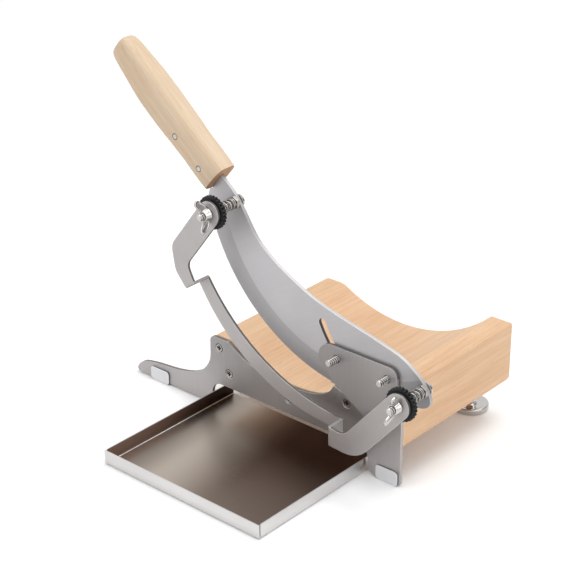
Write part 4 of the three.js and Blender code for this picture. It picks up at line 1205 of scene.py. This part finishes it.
def cap_piece(side):
    """Soft cap: its own shape with rounded edges. Its sides get painted shadow where they meet the
    plate, from a share of the way between its face and the plate's."""
    node = f"foot_cap_{side}"
    obj = rounded_copy(node, bpy.context.scene.slicer_sizes.cap_round, 3)
    middles, normals = face_middles(obj.data)
    face = box_of(node)[0][1]
    meets = middles[:, 1] > face + CAP_PALE * (plate_front() - face)
    store_values(obj.data, "FACE", "cut_edge_and_shade", meets & (np.abs(normals[:, 1]) < 0.95))
    return finish_piece(obj, "base", node, "soft cap")


def blade_piece():
    """Blade: its own shape with rounded edges. The walls of its guide slot get painted shade; they
    are those close to the line between the slot's ends."""
    obj = rounded_copy("blade", bpy.context.scene.slicer_sizes.sheet_round)
    middles, normals = face_middles(obj.data)
    start = box_of("guide_bolt")[2][[0, 2]]
    way = box_of("pivot_bolt")[2][[0, 2]] + np.array(SLOT_END) - start
    places = middles[:, [0, 2]] - start
    share = np.clip(places @ way / (way @ way), 0, 1)
    away = np.linalg.norm(places - share[:, None] * way, axis=1)
    # painted shade on the slot walls
    walls = (away < SLOT_REACH) & (np.abs(normals[:, 1]) < 0.5)
    store_values(obj.data, "FACE", "groove_shade", walls)
    return finish_piece(obj, "blade", "blade", "ground blade")


# Stage


def floor_material():
    """Pale floor: white, with the object's soft shadow on it. Far from the object it glows as
    white as the background, so that no horizon shows."""
    material, nodes, shader, vector = start_material("pale floor")
    grain = nodes.value("MULTIPLY", nodes.noise(vector, 0.4), 0.02)
    colour = nodes.mix(grain, opaque(bpy.context.scene.slicer_colours.floor), (0.96, 0.96, 0.96, 1.0))
    far = nodes.step(nodes.vector("LENGTH", vector), FLOOR_NEAR, FLOOR_FAR)
    nodes.tree.links.new(nodes.mix(far, BLACK, WHITE), shader.inputs["Emission Color"])
    fixed = {"Emission Strength": 1.0, "Roughness": 0.9, "Specular IOR Level": 0.1}
    link_shader(nodes, shader, fixed, nodes.mix(far, colour, BLACK))
    return material


def make_floor():
    """Flat floor under the object."""
    edges = np.linspace(-FLOOR_REACH, FLOOR_REACH, 3)
    x, y = np.meshgrid(edges, edges, indexing="ij")
    points = np.stack([x, y, np.full_like(x, -FLOOR_BELOW)], -1)
    mesh = bpy.data.meshes.new("floor")
    faces = grid_faces(3, 3, False, False)[:, ::-1]
    mesh.from_pydata(points.reshape(-1, 3).tolist(), [], faces.tolist())
    mesh.materials.append(floor_material())
    obj = new_object("floor", mesh)


def area_light(name, place, power):
    """Square soft light at a place, pointing at the object."""
    data = bpy.data.lights.new(name, "AREA")
    data.size = LIGHT_SIZE
    data.energy = power
    light = new_object(name, data)
    light.location = place
    light.rotation_mode = "QUATERNION"
    light.rotation_quaternion = (Vector(LIGHT_AIM) - Vector(place)).to_track_quat("-Z", "Y")


def dark_card(name, place, aim, width, height):
    """Grey card beside the object, seen only in reflections, as in a studio for steel goods."""
    material, nodes, shader, _ = start_material(name)
    fixed = {"Base Color": (0.3, 0.3, 0.3, 1.0), "Roughness": 1.0, "Specular IOR Level": 0.0}
    link_shader(nodes, shader, fixed)
    centre = Vector(place)
    way = (Vector(aim) - centre).normalized()
    side = way.cross(Vector((0, 0, 1))).normalized() * width / 2
    up = side.cross(way).normalized() * height / 2
    corners = [centre - side - up, centre + side - up, centre + side + up, centre - side + up]
    mesh = bpy.data.meshes.new(name)
    mesh.from_pydata([tuple(c) for c in corners], [], [(0, 1, 2, 3)])
    mesh.materials.append(material)
    card = new_object(name, mesh)
    card.visible_camera = False
    card.visible_diffuse = False
    card.visible_shadow = False
    card.visible_transmission = False


def make_world(light_level):
    """Even pale light; the camera and reflections see white."""
    world = bpy.data.worlds.new("studio")
    bpy.context.scene.world = world
    world.use_nodes = True
    nodes = Nodes(world.node_tree)
    path = nodes.add("ShaderNodeLightPath")
    seen = nodes.value("MAXIMUM", path.outputs["Is Camera Ray"], path.outputs["Is Glossy Ray"])
    seen = nodes.value("MAXIMUM", seen, path.outputs["Is Transmission Ray"])
    background = world.node_tree.nodes["Background"]
    background.inputs["Color"].default_value = (1, 1, 1, 1)
    strength = nodes.between(seen, 0.0, 1.0, light_level, 1.0)
    world.node_tree.links.new(strength, background.inputs["Strength"])


def make_camera():
    """Camera at the photograph's angle, placed from the block's middle and the plate's front."""
    yaw, pitch, roll = CAMERA_TURNS
    ahead = Vector((-math.sin(yaw) * math.cos(pitch), math.cos(yaw) * math.cos(pitch), -math.sin(pitch)))
    level = Vector((math.cos(yaw), math.sin(yaw), 0))
    over = level.cross(ahead)
    right = math.cos(roll) * level + math.sin(roll) * over
    up = -math.sin(roll) * level + math.cos(roll) * over
    across, before, above = CAMERA_PLACE
    place = Vector((box_of("wood_base_block")[2][0] + across, plate_front() + before, above))
    data = bpy.data.cameras.new("photo camera")
    data.sensor_width = CAMERA_SENSOR
    data.lens = CAMERA_FOCAL * CAMERA_SENSOR / PICTURE_WIDTH
    data.clip_start, data.clip_end = 0.05, 50.0
    camera = new_object("photo camera", data)
    columns = Matrix((right, up, -ahead)).transposed().to_4x4()
    camera.matrix_world = Matrix.Translation(place) @ columns
    bpy.context.scene.camera = camera


# Operators


class SLICER_OT_block(bpy.types.Operator):
    """Wooden block with its feed channel"""

    bl_idname = "slicer.block"
    bl_label = "Wooden block"
    bl_options = {"REGISTER", "UNDO"}

    def execute(self, context):
        width = bpy.context.scene.slicer_sizes.wood_round
        rounded_piece("wood_base_block", "base", "block wood", width, 3, soften_channel)
        return {"FINISHED"}


class SLICER_OT_stand(bpy.types.Operator):
    """Stand plate, its screws and its soft caps"""

    bl_idname = "slicer.stand"
    bl_label = "Stand plate"
    bl_options = {"REGISTER", "UNDO"}

    def execute(self, context):
        sizes = bpy.context.scene.slicer_sizes
        rounded_piece(
            "stand_plate", "base", "brushed plate", sizes.sheet_round, 2, soften_stand)
        for number in range(1, 5):
            screw_piece(number)
        for side in ("left", "right"):
            cap_piece(side)
        return {"FINISHED"}


class SLICER_OT_feet(bpy.types.Operator):
    """Two turned rear feet"""

    bl_idname = "slicer.feet"
    bl_label = "Rear feet"
    bl_options = {"REGISTER", "UNDO"}

    def execute(self, context):
        for side in ("left", "right"):
            rear_foot_piece(side)
        return {"FINISHED"}


class SLICER_OT_blade(bpy.types.Operator):
    """Blade and the slide block on its pivot bolt"""

    bl_idname = "slicer.blade"
    bl_label = "Blade"
    bl_options = {"REGISTER", "UNDO"}

    def execute(self, context):
        blade_piece()
        rounded_piece("pivot_slider", "slide_block", "polished steel", 0.0002)
        return {"FINISHED"}


class SLICER_OT_bolts(bpy.types.Operator):
    """Pivot bolt and guide bolt"""

    bl_idname = "slicer.bolts"
    bl_label = "Blade bolts"
    bl_options = {"REGISTER", "UNDO"}

    def execute(self, context):
        for node in ("pivot_bolt", "guide_bolt"):
            threaded_piece(node, "base", plate_front() - BRACKET_BACK, BOLT_HEAD)
        return {"FINISHED"}


class SLICER_OT_handle(bpy.types.Operator):
    """Wooden handle and its rivets"""

    bl_idname = "slicer.handle"
    bl_label = "Handle"
    bl_options = {"REGISTER", "UNDO"}

    def execute(self, context):
        handle_piece()
        for number in (1, 2):
            rivet_piece(number)
        return {"FINISHED"}


class SLICER_OT_studs(bpy.types.Operator):
    """Studs, nuts, springs, wheels and wing nuts of the gauge"""

    bl_idname = "slicer.studs"
    bl_label = "Gauge studs"
    bl_options = {"REGISTER", "UNDO"}

    def execute(self, context):
        for side in ("upper", "lower"):
            threaded_piece(f"gauge_stud_{side}", "blade", plate_front() - STUD_THREAD, STUD_HEAD)
            rounded_piece(f"stud_nut_{side}", "blade", "spring steel", 0.0003)
            spring_piece(side)
            wheel_piece(side)
            wing_nut_piece(side)
        return {"FINISHED"}


class SLICER_OT_gauge(bpy.types.Operator):
    """Bent sheet of the thickness gauge"""

    bl_idname = "slicer.gauge"
    bl_label = "Thickness gauge"
    bl_options = {"REGISTER", "UNDO"}

    def execute(self, context):
        width = bpy.context.scene.slicer_sizes.sheet_round
        rounded_piece("gauge_frame", "gauge", "brushed gauge", width, 2, soften_gauge)
        return {"FINISHED"}


class SLICER_OT_tray(bpy.types.Operator):
    """Loose tray for the slices"""

    bl_idname = "slicer.tray"
    bl_label = "Slice tray"
    bl_options = {"REGISTER", "UNDO"}

    def execute(self, context):
        tray_piece()
        return {"FINISHED"}


class SLICER_OT_stage(bpy.types.Operator):
    """Floor, soft lights and camera"""

    bl_idname = "slicer.stage"
    bl_label = "Stage"
    bl_options = {"REGISTER", "UNDO"}

    def execute(self, context):
        make_floor()
        make_world(WORLD_LIGHT)
        for name, place, power in LIGHTS:
            area_light(name, place, power)
        dark_card("right card", place=(0.95, 1.0, 0.45), aim=(0, 0, 0.15), width=1.3, height=0.9)
        make_camera()
        bpy.context.scene.view_settings.view_transform = "Standard"
        return {"FINISHED"}


class SLICER_PT_panel(bpy.types.Panel):
    """The slicer's pieces, in the sidebar"""

    bl_label = "Frozen meat slicer"
    bl_idname = "SLICER_PT_panel"
    bl_space_type = "VIEW_3D"
    bl_region_type = "UI"
    bl_category = "Slicer"

    def draw(self, context):
        for operator in OPERATORS:
            self.layout.operator(operator.bl_idname)
        for group in (context.scene.slicer_sizes, context.scene.slicer_colours):
            column = self.layout.column()
            for name in group.__annotations__:
                column.prop(group, name)


OPERATORS = (
    SLICER_OT_block, SLICER_OT_stand, SLICER_OT_feet, SLICER_OT_blade, SLICER_OT_bolts,
    SLICER_OT_handle, SLICER_OT_studs, SLICER_OT_gauge, SLICER_OT_tray, SLICER_OT_stage)
CLASSES = (SlicerSizes, SlicerColours, *OPERATORS, SLICER_PT_panel)


def register():
    """Adds the classes and the two groups of settings to Blender."""
    for kind in CLASSES:
        bpy.utils.register_class(kind)
    bpy.types.Scene.slicer_sizes = PointerProperty(type=SlicerSizes)
    bpy.types.Scene.slicer_colours = PointerProperty(type=SlicerColours)


def unregister():
    """Takes them out again."""
    del bpy.types.Scene.slicer_colours
    del bpy.types.Scene.slicer_sizes
    for kind in reversed(CLASSES):
        bpy.utils.unregister_class(kind)


def main():
    """Dresses the slicer, piece by piece."""
    register()
    for operator in OPERATORS:
        group, name = operator.bl_idname.split(".")
        getattr(getattr(bpy.ops, group), name)()


if __name__ == "__main__":
    main()
